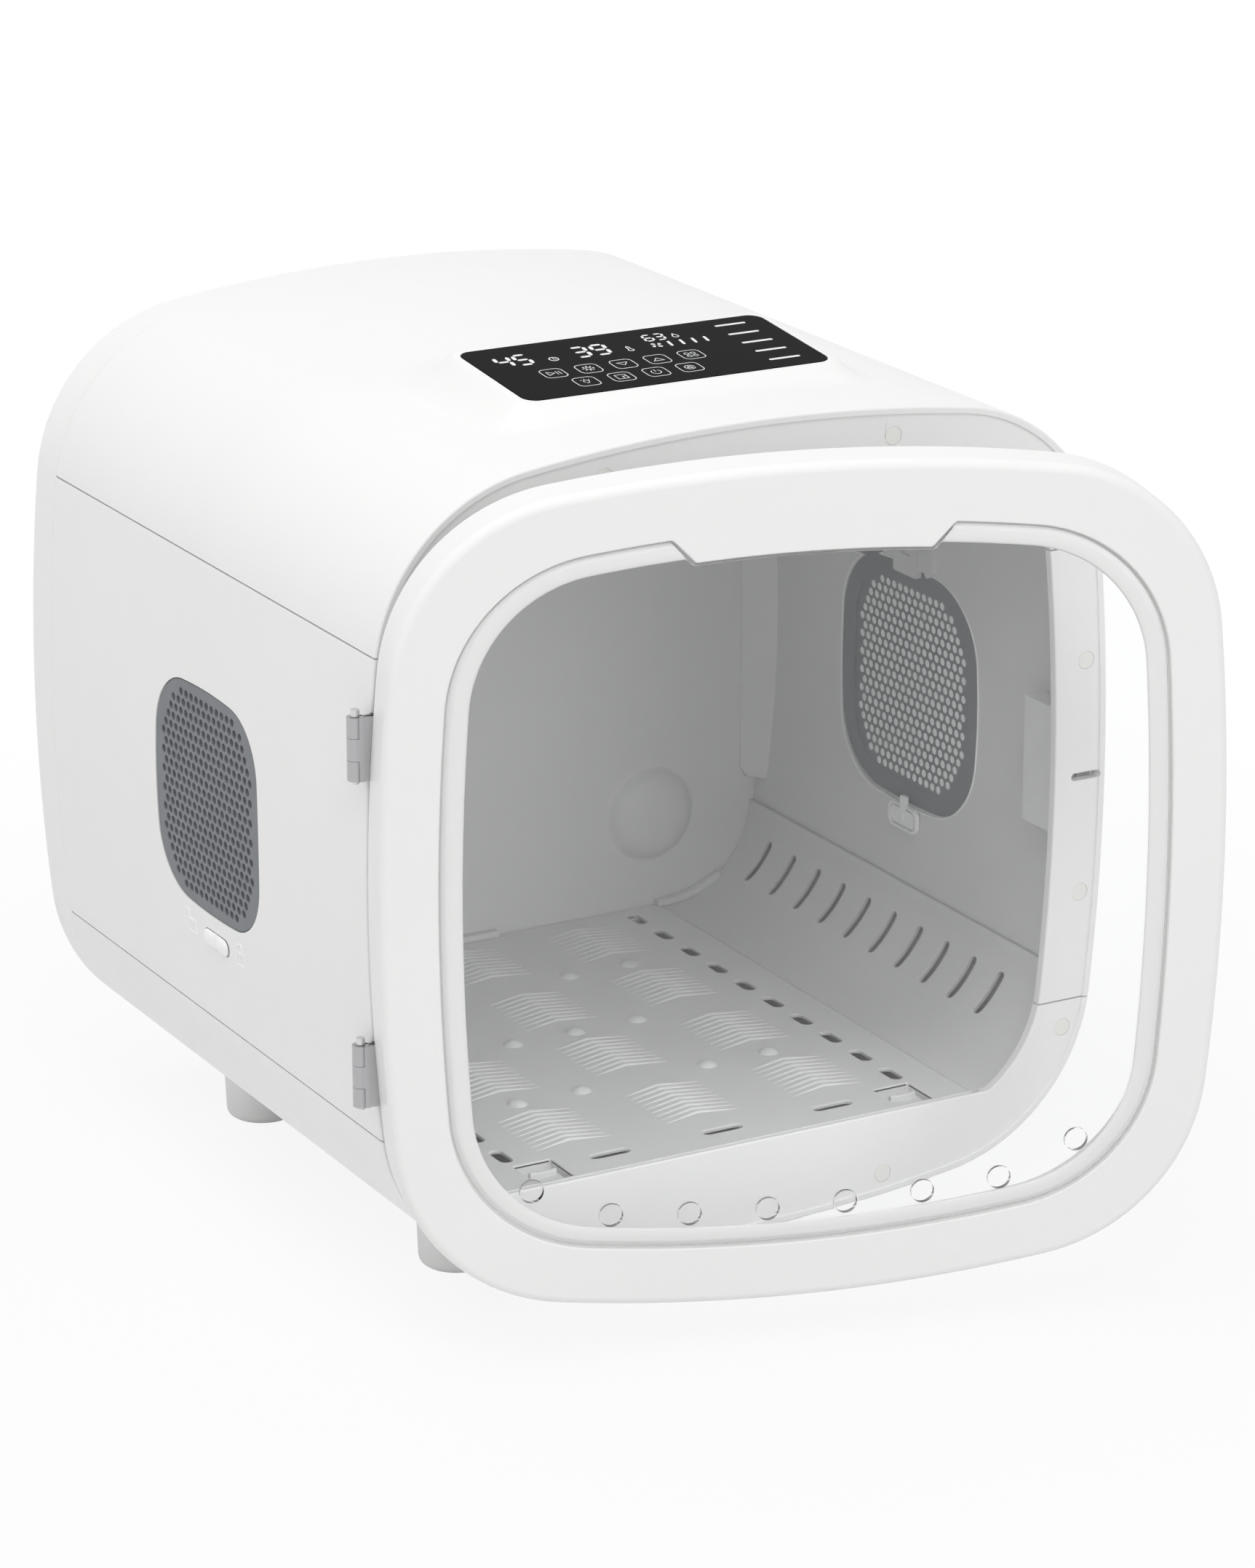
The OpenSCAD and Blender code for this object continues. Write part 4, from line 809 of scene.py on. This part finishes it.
def build_clip(side):
    """Clip above the vent, with a notched tab and a gusset in front of it."""
    wx = float(side_x(VENT_Z + 89, LINER_IN))
    lo, hi = VENT_Y - 11, VENT_Y + 14
    tab = fillet([(lo, 66), (hi, 66), (hi, 88), (hi - 7, 88), (hi - 7, 78), (lo + 7, 78),
                  (lo + 7, 88), (lo, 88)], [1.5, 1.5, 0.5, 0.5, 1, 1, 0.5, 0.5])
    tab = prism(tab + [0, VENT_Z], at_x, wx - 0.4, HALF_W - 5)
    gusset = prism([(lo - 13, VENT_Z + 70), (lo - 20, VENT_Z + 74), (lo - 20, VENT_Z + 93),
                    (lo - 4, VENT_Z + 80)], at_x, wx - 2, wx + 2)
    piece(sided(side, "grille_clip.look"), "liner_grey", turned(joined(tab, gusset), side),
          edges=0.4)


def build_lock(side):
    """Sliding lock: a rounded grip outside with a cross groove, stem and inner plate."""
    long, wide, rise = 29.5, 9.4, 2.1
    rings = [at_x(slot(16, 8.4, 10), -3.6), at_x(slot(16, 8.4, 10), 0.2)]
    for t in np.linspace(0, pi / 2 - 0.06, 9):
        e = wide / 2 * (1 - cos(t))
        rings.append(at_x(slot(long - 2 * e, wide - 2 * e, 10), 0.3 + rise * sin(t)))
    grip = new_object("grip", loft(rings))
    slice_up(grip, 1, np.arange(-7, 7.1, 0.5))

    def pill(co):
        """Wraps the pill onto the wall, with a wide dip across its middle."""
        y, z = co[:, 1] + LOCK_Y, co[:, 2] + LOCK_Z
        dip = 1.5 * np.exp(-(co[:, 1] / 2.3) ** 2) * np.clip(co[:, 0] / rise, 0, 1)
        return np.stack([side * (side_x(z) + co[:, 0] - dip), y, z], 1)

    reshape(grip, pill)
    wx = float(side_x(LOCK_Z - 4, LINER_IN))
    stem = np.array([(-3, -2.6), (3, -2.6), (3, 2.6), (-3, 2.6)]) + [LOCK_Y, LOCK_Z]
    middle = [LOCK_Y, LOCK_Z - 1]
    # rim, floor, plate, finger ridge and tab, each between two distances from the wall
    parts = [loft([at_x(rrect(w, h, 5) + middle, wx - d) for w, h, d in
                   ((30, 15, 0.3), (30, 15, 3), (27.4, 12.4, 3), (27.4, 12.4, 0.3))],
                  closed_v=True)]
    parts += [prism(rrect(w, h, r) + middle + [0, up], at_x, wx - inside, wx - outside)
              for w, h, r, up, inside, outside in (
                  (28.4, 13.4, 4.4, 0, 0.7, 0.3), (24.8, 9.8, 3.6, 0, 2.5, 0.5),
                  (1.6, 5, 0.7, 0, 3.2, 1), (6, 9, 1.2, 8.4, 2.6, 0.3))]
    inner = new_object("inner", *[turned(part, side) for part in (
        prism(stem, at_x, wx - 1.6, HALF_W - 3.9), *parts)])
    soften(inner, 0.4)
    obj = merge(sided(side, "lock_slider.look"), grip, inner)
    finish_piece(obj, "light_plastic", BRIGHT, sided(side, "lock"), smooth=40)


# -------- flat marks
MARK_H = 0.06           # height of the display's print


def band(points, width, closed=False, thick=MARK_H):
    """Flat band of the given width along a line, as a solid on z = 0."""
    pts = [np.array(points[0], float)]
    pts += [np.array(q, float) for p, q in zip(points, points[1:])
            if hypot(p[0] - q[0], p[1] - q[1]) > 0.01]
    ways = [unit(b - a) for a, b in zip(pts, pts[1:] + pts[:1] if closed else pts[1:])]
    rings = []
    for k, p in enumerate(pts):
        u = ways[k - 1] if k or closed else ways[0]
        v = ways[k] if k < len(ways) else u
        m = unit(u + v)
        aside = np.array([-m[1], m[0]]) * width / 2 / max(0.4, float(m @ u))
        l, r = p + aside, p - aside
        rings.append([(*l, 0), (*r, 0), (*r, thick), (*l, thick)])
    return loft(rings, closed_v=closed)


def arc(cx, cy, r, a0, a1, n=14):
    """Points of an arc between two angles in degrees."""
    return arc_points((cx, cy), r, [radians(a0 + (a1 - a0) * k / n) for k in range(n + 1)])


def pad(points):
    return prism(points, at_z, 0, MARK_H)


SEGMENTS = {"4": "bcfg", "5": "acdfg", "3": "abcdg", "9": "abcdfg", "6": "acdefg"}
ENDS = {"a": (0, 1, 1, 1), "b": (1, 0.5, 1, 1), "c": (1, 0, 1, 0.5), "d": (0, 0, 1, 0),
        "e": (0, 0, 0, 0.5), "f": (0, 0.5, 0, 1), "g": (0, 0.5, 1, 0.5)}


def digit(char, x, y, w, h, width, lean=0.12):
    """Seven-segment figure with its lower left corner at (x, y)."""
    k, solids = width / 2, []
    for name in SEGMENTS[char]:
        x0, y0, x1, y1 = ENDS[name]
        a, b = np.array([x0 * w, y0 * h]), np.array([x1 * w, y1 * h])
        d = unit(b - a)
        n = np.array([-d[1], d[0]])
        a, b = a + d * width * 0.28, b - d * width * 0.28
        shape = [a, a + (d + n) * k, b + (n - d) * k, b, b - (d + n) * k, a + (d - n) * k]
        solids.append(pad([(x + p[0] + lean * p[1], y + p[1]) for p in shape]))
    return solids


def build_display():
    place = BODY_AT @ GLASS_AT
    glass = plate("display_glass.look", rrect(GLASS_W, GLASS_D, 8, 10), [], 2, 0.25, 3)
    reshape(glass, lambda co: co - [0, 0, 1])
    finish_piece(glass, "display_black", place=place)
    bright, keys = [], []       # solids in the two colours of the print

    def mark(points, width=0.6, closed=False):
        bright.append(band(points, width, closed))

    for text, x, y, w, h, width, step in (("45", -79.5, 11.2, 7.6, 14.6, 2.2, 11.2),
                                          ("39", -33.6, 11.2, 7.8, 14.6, 2.2, 11.8),
                                          ("63", 13.2, 21.2, 4.8, 9.0, 1.4, 7.0)):
        for k, char in enumerate(text):
            bright += digit(char, x + k * step, y, w, h, width)
    # clock, thermometer and drop beside the figures
    mark(arc(-47.5, 13.8, 2.6, 0, 345), 0.7)
    mark([(-47.5, 15.4), (-47.5, 13.6), (-46.2, 12.9)])
    mark(arc(-1.6, 12.2, 1.5, 120, 420), 0.7)
    mark([(-2.35, 13.6), (-2.35, 17), (-1.6, 17.7), (-0.85, 17), (-0.85, 13.6)])
    mark(arc(32, 23.6, 1.7, -210, 30) + [(32, 27.4)], 0.65, True)
    # fan and its four level bars
    blade = ((0.8, 0), (2.4, -20), (3.8, 5), (3.4, 32), (2, 30))
    bright += [pad([arc_points((15, 14), r, [radians(turn + b)])[0] for r, b in blade])
               for turn in range(20, 380, 90)]
    bright += [pad(slot(1.7, 7.6, 4) @ [[1, 0], [0.12, 1]] + [x, 14])
               for x in (23.2, 30.6, 38, 45.4)]
    # five plain bars where the modes are named
    bright += [pad(slot(19, 2.3, 4) + [69.5, y]) for y in (30, 15.3, 0.8, -13.6, -28)]
    # nine touch keys
    places = [(-58.4, -6.2), (-37.4, -6.2), (-16.4, -6.2), (4.2, -6), (25, -5.8),
              (-48.2, -23.7), (-27.2, -23.7), (-6.3, -23.5), (14.1, -23.3)]
    keys += [band(rrect(12.9, 12.9, 3.2, 5) + at, 0.55, True) for at in places]

    def line(k, *points, width=0.5, closed=False):
        keys.append(band(np.array(points) + places[k], width, closed))

    def ray(k, turn, height, r0, r1, width=0.5):
        line(k, *[arc_points((0, height), r, [radians(turn)])[0] for r in (r0, r1)],
             width=width)

    line(0, (-3.4, -2.4), (-3.4, 2.4), (0.6, 0), closed=True)
    line(0, (2, -2.4), (2, 2.4))
    line(0, (3.8, -2.4), (3.8, 2.4))
    line(1, *arc(0, 0.4, 1.5, 0, 340))
    for turn in range(0, 360, 45):
        ray(1, turn, 0.4, 2.3, 3.5, 0.9)
    line(2, (-3, 2.2), (3, 2.2), (0, -1.8), closed=True)
    line(3, (-3, -2.2), (3, -2.2), (0, 1.8), closed=True)
    for cx, cy in ((-1.9, 1.9), (1.9, 1.9), (-1.9, -1.9), (1.9, -1.9)):
        line(4, *arc(cx, cy, 1.35, 0, 340))
    line(5, *arc(0, 0.2, 1.6, -60, 240))
    line(5, (-0.9, -2.2), (0.9, -2.2))
    for turn in (40, 90, 140):
        ray(5, turn, 0.2, 2.5, 3.6)
    line(6, (-3, -3), (-3, 3), (3, 3), (3, -3), closed=True)
    line(6, (0.6, -3), (0.6, 0.4), (3, 0.4))
    line(7, *arc(0, 0, 2.8, 125, 415))
    line(7, (0, 0.4), (0, 3.6))
    line(8, *arc(0, 0, 2.9, 0, 340))
    line(8, (-1.3, -1.3), (1.3, -1.3), (1.3, 0.4), (-1.3, 0.4), closed=True)
    line(8, *arc(0, 0.5, 0.9, 0, 180), width=0.4)
    for name, solids, material in (("display_marks", bright, PRINT),
                                   ("display_keys", keys, KEY_PRINT)):
        obj = new_object(name, *solids)
        reshape(obj, lambda co: co + [0, 0, 0.005])
        finish_piece(obj, "display_black", material, place=place)


def build_lock_marks():
    """Raised padlock outlines on both sides of each lock."""
    solids = []
    case = [(-4.6, -5.5), (4.6, -5.5), (4.6, 1.8), (-4.6, 1.8)]
    for centre, bow in (
            (LOCK_Y + 31, [(3, 1.8), (3, 4), *arc(6, 4, 3, 180, 0), (9, 2.4)]),
            (LOCK_Y - 30, [(-3, 1.8), (-3, 4), *arc(0, 4, 3, 180, 0), (3, 1.8)])):
        for points, closed in ((case, True), (bow, False), ([(0, -3.2), (0, -0.6)], False)):
            solids.append(band(np.array(points) + [centre, LOCK_Z + 1.5], 0.9, closed, 0.55))
    for side in (-1, 1):
        obj = new_object(sided(side, "lock_marks"), *solids)
        reshape(obj, lambda co: np.stack([side * (side_x(co[:, 1]) - 0.15 + co[:, 2]),
                                          co[:, 0], co[:, 1]], 1))
        finish_piece(obj, "white_shell", BRIGHT)


# -------- small parts on the shell
def build_latch_housing():
    wx = float(side_x(39, LINER_IN)) - 0.2
    obj = new_object("latch_housing.look", block((wx - 14.4, 20, -39), (wx, 50, 33)))
    cut(obj, block((wx - 13, 18, -4.6), (wx - 0.8, 27, 2.6)))
    soften(obj, 1.2, segments=4)
    finish_piece(obj, "light_plastic")


def build_magnets():
    for name, body, y0, y1, step, material in (
            ("rim_magnets", "cabinet", RIM_SET, RIM_SET + 3, 0.3, None),
            ("door_magnets", "door", DOOR_BACK - 0.2, DOOR_BACK - 2.9, -0.3, DARK_STEEL)):
        piece(name + ".look", "magnet", *at_magnets((4.6, y0), (5, y0 + step), (5, y1), n=40),
              material=material, body=body)


def build_feet():
    low = -HALF_H - 24.2
    profile = [(0.01, 15), (5.5, 15), (5.5, 0.4), (6, 0), (16.6, 0), (18.4, 0.4), (19.9, 1.5),
               (20.8, 3), (21.2, 5), (22, 28), (22, 44), (0.01, 44)]
    inside = prism(all_round(BODY, -0.1, steps=(8, 20, 16)), at_y, -10, DEPTH)
    for side in (-1, 1):
        for y, where in ((91, "front_"), (DEPTH - 96, "rear_")):
            part = lathe([(r, low + h) for r, h in profile], (side * (HALF_W - 96), y, 0), n=72)
            piece(where + sided(side, "foot.look"), "foot_white", part, cuts=[inside], smooth=40)


# -------- door
TAB = (61.5, 73.5)
TAB_DROP = 13.4


def door_outline(inset):
    return all_round(BODY, inset, steps=DOOR_STEPS)


def opening(inset, tab=True):
    """Window opening of the door moved inwards, with the tab at the top taken out of it."""
    points = all_round(LIP, inset, steps=DOOR_STEPS, marks=TAB)
    # its sides stand a little further out than its inner edge does
    points[:, 0] *= 1 + 1.6 / LIP[0] * (1 - inset / FLANGE)
    if not tab:
        return points
    half_h, r, x, grow = LIP[1], LIP[3], np.abs(points[:, 0]), min(inset, 1.5)
    ramp = np.clip((TAB[1] + grow - x) / (TAB[1] - TAB[0]), 0, 1)
    line = half_h - r + np.sqrt(r ** 2 - x ** 2) - (TAB_DROP + grow) * ramp
    inside = (points[:, 1] > 0) & (x < TAB[1] + grow)
    points[inside, 1] = np.minimum(points[inside, 1], line[inside])
    return points


def door_piece(name, part, cuts=(), material=DOOR_WHITE):
    piece(name, "white_shell", part, cuts=cuts, material=material, body="door")


def build_door_frame():
    f, b, s = DOOR_FRONT, DOOR_BACK, SEAT_Y
    outer = fillet([(2.6, b), (0, b), (0, f), (8, f)], [0, 0.5, 5, 0], n=8, closed=False)[:-1]
    # rounded inner edge and the groove down to the seat of the window
    front = [(-0.9, f), (-0.6, f + 0.05), (-0.25, f + 0.28), (-0.05, f + 0.6), (0, f + 0.95),
             (0, s), (FLANGE - 4, s), (FLANGE - 4, s + 3)]
    back = [(0, s + 3), (0, b - 0.4), (-0.4, b), (-2.4, b), (-2.4, f + 2.6)]
    rings = (sweep(door_outline, outer) + sweep(opening, front)
             + sweep(lambda i: opening(i, False), back) + sweep(door_outline, [(2.6, f + 2.6)]))
    door_piece("door_frame.look", loft(rings, closed_v=True))


def build_bezel():
    """Rounded ring that holds the window, a narrow groove away from the door frame."""
    f, s, edge = DOOR_FRONT, SEAT_Y, 1.1
    profile = [(edge, s + 0.4), (edge, f + 4.4)]
    profile += [(edge + 7.4 * (1 - cos(t)), f + 4.4 - 3.6 * sin(t))
                for t in np.linspace(0.2, pi / 2, 9)]
    profile += [(FLANGE - 1.2, f + 1.05), (FLANGE - 0.4, f + 1.45), (FLANGE, f + 2.1),
                (FLANGE - 0.4, f + 2.4), (3, f + 2.4), (3, s + 0.4)]
    # its darker plastic is painted shade
    door_piece("window_bezel", loft(sweep(opening, profile), closed_v=True), material=SHADED_BEZEL)


def build_door_ring():
    b = DOOR_BACK
    rings = sweep(door_outline, [(3.5, b - 3.4), (2.9, b - 3.0), (2.9, b - 0.6), (3.3, b - 0.2)])
    rings += sweep(lambda i: all_round(LIP, i, steps=DOOR_STEPS),
                   [(-3.1, b - 0.2), (-2.7, b - 0.6), (-2.7, b - 3.4)])
    door_piece("door_back_ring.look", loft(rings, closed_v=True),
               cuts=[joined(*at_magnets((5.15, b - 3), (5.15, b + 1)))])


def build_window():
    holes = [circle(6.25, 40) + [s * x, -LIP[1] + rise]
             for x, rise in ((21, 19.6), (63, 21.1), (105, 24.6), (147, 42.1)) for s in (-1, 1)]
    obj = plate("window_panel.look", opening(1.5), holes, 3, 0.2)
    reshape(obj, lambda co: np.stack([co[:, 0], SEAT_Y - 1.6 - co[:, 2], co[:, 1]], 1))
    finish_piece(obj, "clear_window", body="door")


def build_tongue():
    b = DOOR_BACK
    piece("door_tongue.look", "light_plastic",
          block((HALF_W - 20.3, b, -6), (HALF_W - 4.3, b + 1.6, 4)),
          block((HALF_W - 18, b + 1, -2.3), (HALF_W - 8.3, 24, 0.3)), edges=0.5, body="door")


# -------- hinges
def on_hinge(*profile, n=48):
    return lathe(profile, (HINGE_X, HINGE_Y, 0), n=n)


def knuckle(z0, z1):
    r, c = 4.4, 0.12
    return on_hinge((2.0, z0), (r - c, z0), (r, z0 + c), (r, z1 - c), (r - c, z1), (2.0, z1))


def build_hinge(z, name):
    half, k = HINGE_H / 2, HINGE_H * 0.36 / 2       # half heights of it and its middle knuckle
    low, top, inner = z - half, z + half, -HALF_W + 21
    # leaf and two knuckles on the body
    leaf = new_object("leaf", block((HINGE_X, RIM_SET - 1.8, low), (inner, RIM_SET, top)))
    cut(leaf, on_hinge((4.6, z - k), (4.6, z + k)))
    soften(leaf, 0.25)
    ends = new_object("ends", knuckle(low, z - k), knuckle(z + k, top))
    finish_piece(merge(name + "_body_leaf.look", leaf, ends), "satin_steel")
    # leaf and middle knuckle on the door, with a wrap that is flush with the front of the
    # knuckles and fills the gap beside the door
    k -= 0.1
    leaf = new_object("leaf", block((HINGE_X, DOOR_BACK, low), (inner, DOOR_BACK + 1.8, top)))
    wrap = block((HINGE_X, HINGE_Y - 4.38, low), (-HALF_W - 0.5, DOOR_BACK + 0.5, top))
    cut(leaf, wrap, operation="UNION")
    cut(leaf, *[on_hinge((4.55, z + a), (4.55, z + b))
                for a, b in ((-HINGE_H, -k), (k, HINGE_H))])
    soften(leaf, 0.15)
    middle = new_object("middle", knuckle(z - k, z + k))
    finish_piece(merge(name + "_door_leaf.look", leaf, middle), "satin_steel", body="door")
    # pin with its head
    pin = on_hinge((0.01, low - 2), (1.6, low - 2), (1.9, low - 1.6), (1.9, top + 0.2),
                   (2.4, top + 0.2), (2.4, top + 3.5), (2.1, top + 3.9), (0.01, top + 4), n=40)
    piece(name + "_hinge_pin.look", "chrome_pin", pin)


# -------- stage, lamps and camera
def seen_ray(tree):
    """1 for what the camera sees straight, mirrored or through glass, else 0."""
    path = add_node(tree, "LightPath")
    total = path.outputs["Is Camera Ray"]
    for name in ("Is Glossy Ray", "Is Transmission Ray"):
        total = add_node(tree, "Math", (0, total), (1, path.outputs[name]),
                         operation="MAXIMUM").outputs[0]
    return total


def build_stage():
    floor = new_object("floor", ([(-40, -40, 0), (40, -40, 0), (40, 40, 0), (-40, 40, 0)],
                                 [(0, 1, 2, 3)]))
    floor.location.z = -0.0005
    material = bpy.data.materials.new("floor_paper")
    material.use_nodes = True
    tree = material.node_tree
    tree.nodes.clear()
    # the shadow stays near the cabinet and the paper is plain white further out
    coords = add_node(tree, "TexCoord").outputs["Object"]
    length = add_node(tree, "VectorMath", (0, coords), operation="LENGTH").outputs["Value"]
    share = add_node(tree, "Math", (0, seen_ray(tree)),
                     (1, between(tree, length, 0.88, 1.0, 0.35, 0.95)), operation="MULTIPLY")
    paper = add_node(tree, "BsdfDiffuse", ("Color", (0.82, 0.82, 0.82, 1)))
    glow = add_node(tree, "Emission", ("Strength", 1.0))
    mix = add_node(tree, "MixShader", (0, share.outputs[0]), (1, paper.outputs[0]),
                   (2, glow.outputs[0]))
    add_node(tree, "OutputMaterial", ("Surface", mix.outputs[0]))
    floor.data.materials.append(material)


def build_world(ambient=0.55):
    world = bpy.data.worlds.new("studio")
    bpy.context.scene.world = world
    world.use_nodes = True
    tree = world.node_tree
    back = tree.nodes["Background"]
    back.inputs["Color"].default_value = (1, 1, 1, 1)
    tree.links.new(between(tree, seen_ray(tree), ambient, 1.0, 0, 1), back.inputs["Strength"])


def aim_at(obj, target):
    obj.rotation_euler = (Vector(target) - obj.location).to_track_quat("-Z", "Y").to_euler()


def lamp(name, at, aim, size, power):
    data = bpy.data.lights.new(name, "AREA")
    data.shape, data.size, data.energy = "DISK", size, power
    obj = add_object(name, data)
    obj.location = at
    aim_at(obj, aim)
    obj.visible_glossy = False


def build_camera():
    data = bpy.data.cameras.new("camera")
    data.sensor_fit, data.sensor_width, data.sensor_height = "VERTICAL", 36, 36
    data.lens = 120.46
    data.clip_start, data.clip_end = 0.05, 60
    cam = add_object("camera", data)
    cam.location = BODY_AT @ Vector((-1329.5, -2247.0, 903.8))
    aim_at(cam, BODY_AT @ Vector((-17.741, 100, 2.517)))
    bpy.context.scene.camera = cam


build_camera()
build_world()
build_stage()
lamp("key", (-0.9, 0.2, 2.6), (0, 0.05, 0.25), 2.2, 22)
lamp("front", (0.8, -3.1, 1.2), (0, 0, 0.25), 2.2, 17)
lamp("high", (-0.7, -1.7, 2.5), (0, 0, 0.25), 1.0, 13)
lamp("side", (-3.0, -0.6, 0.7), (0, 0.05, 0.2), 1.8, 4)
bpy.context.scene.view_settings.view_transform = "Standard"

build_top_cover()
for side in (-1, 1):
    for build in (build_side_panel, build_louvre_panel, build_tray_latch, build_grille,
                  build_clip, build_lock):
        build(side)
for build in (build_bottom_shell, build_back_cover, build_liner, build_back_wall, build_tray,
              build_display, build_lock_marks, build_latch_housing, build_magnets, build_feet,
              build_door_frame, build_bezel, build_door_ring, build_window, build_tongue):
    build()
build_hinge(HINGE_Z[0], "upper")
build_hinge(HINGE_Z[1], "lower")
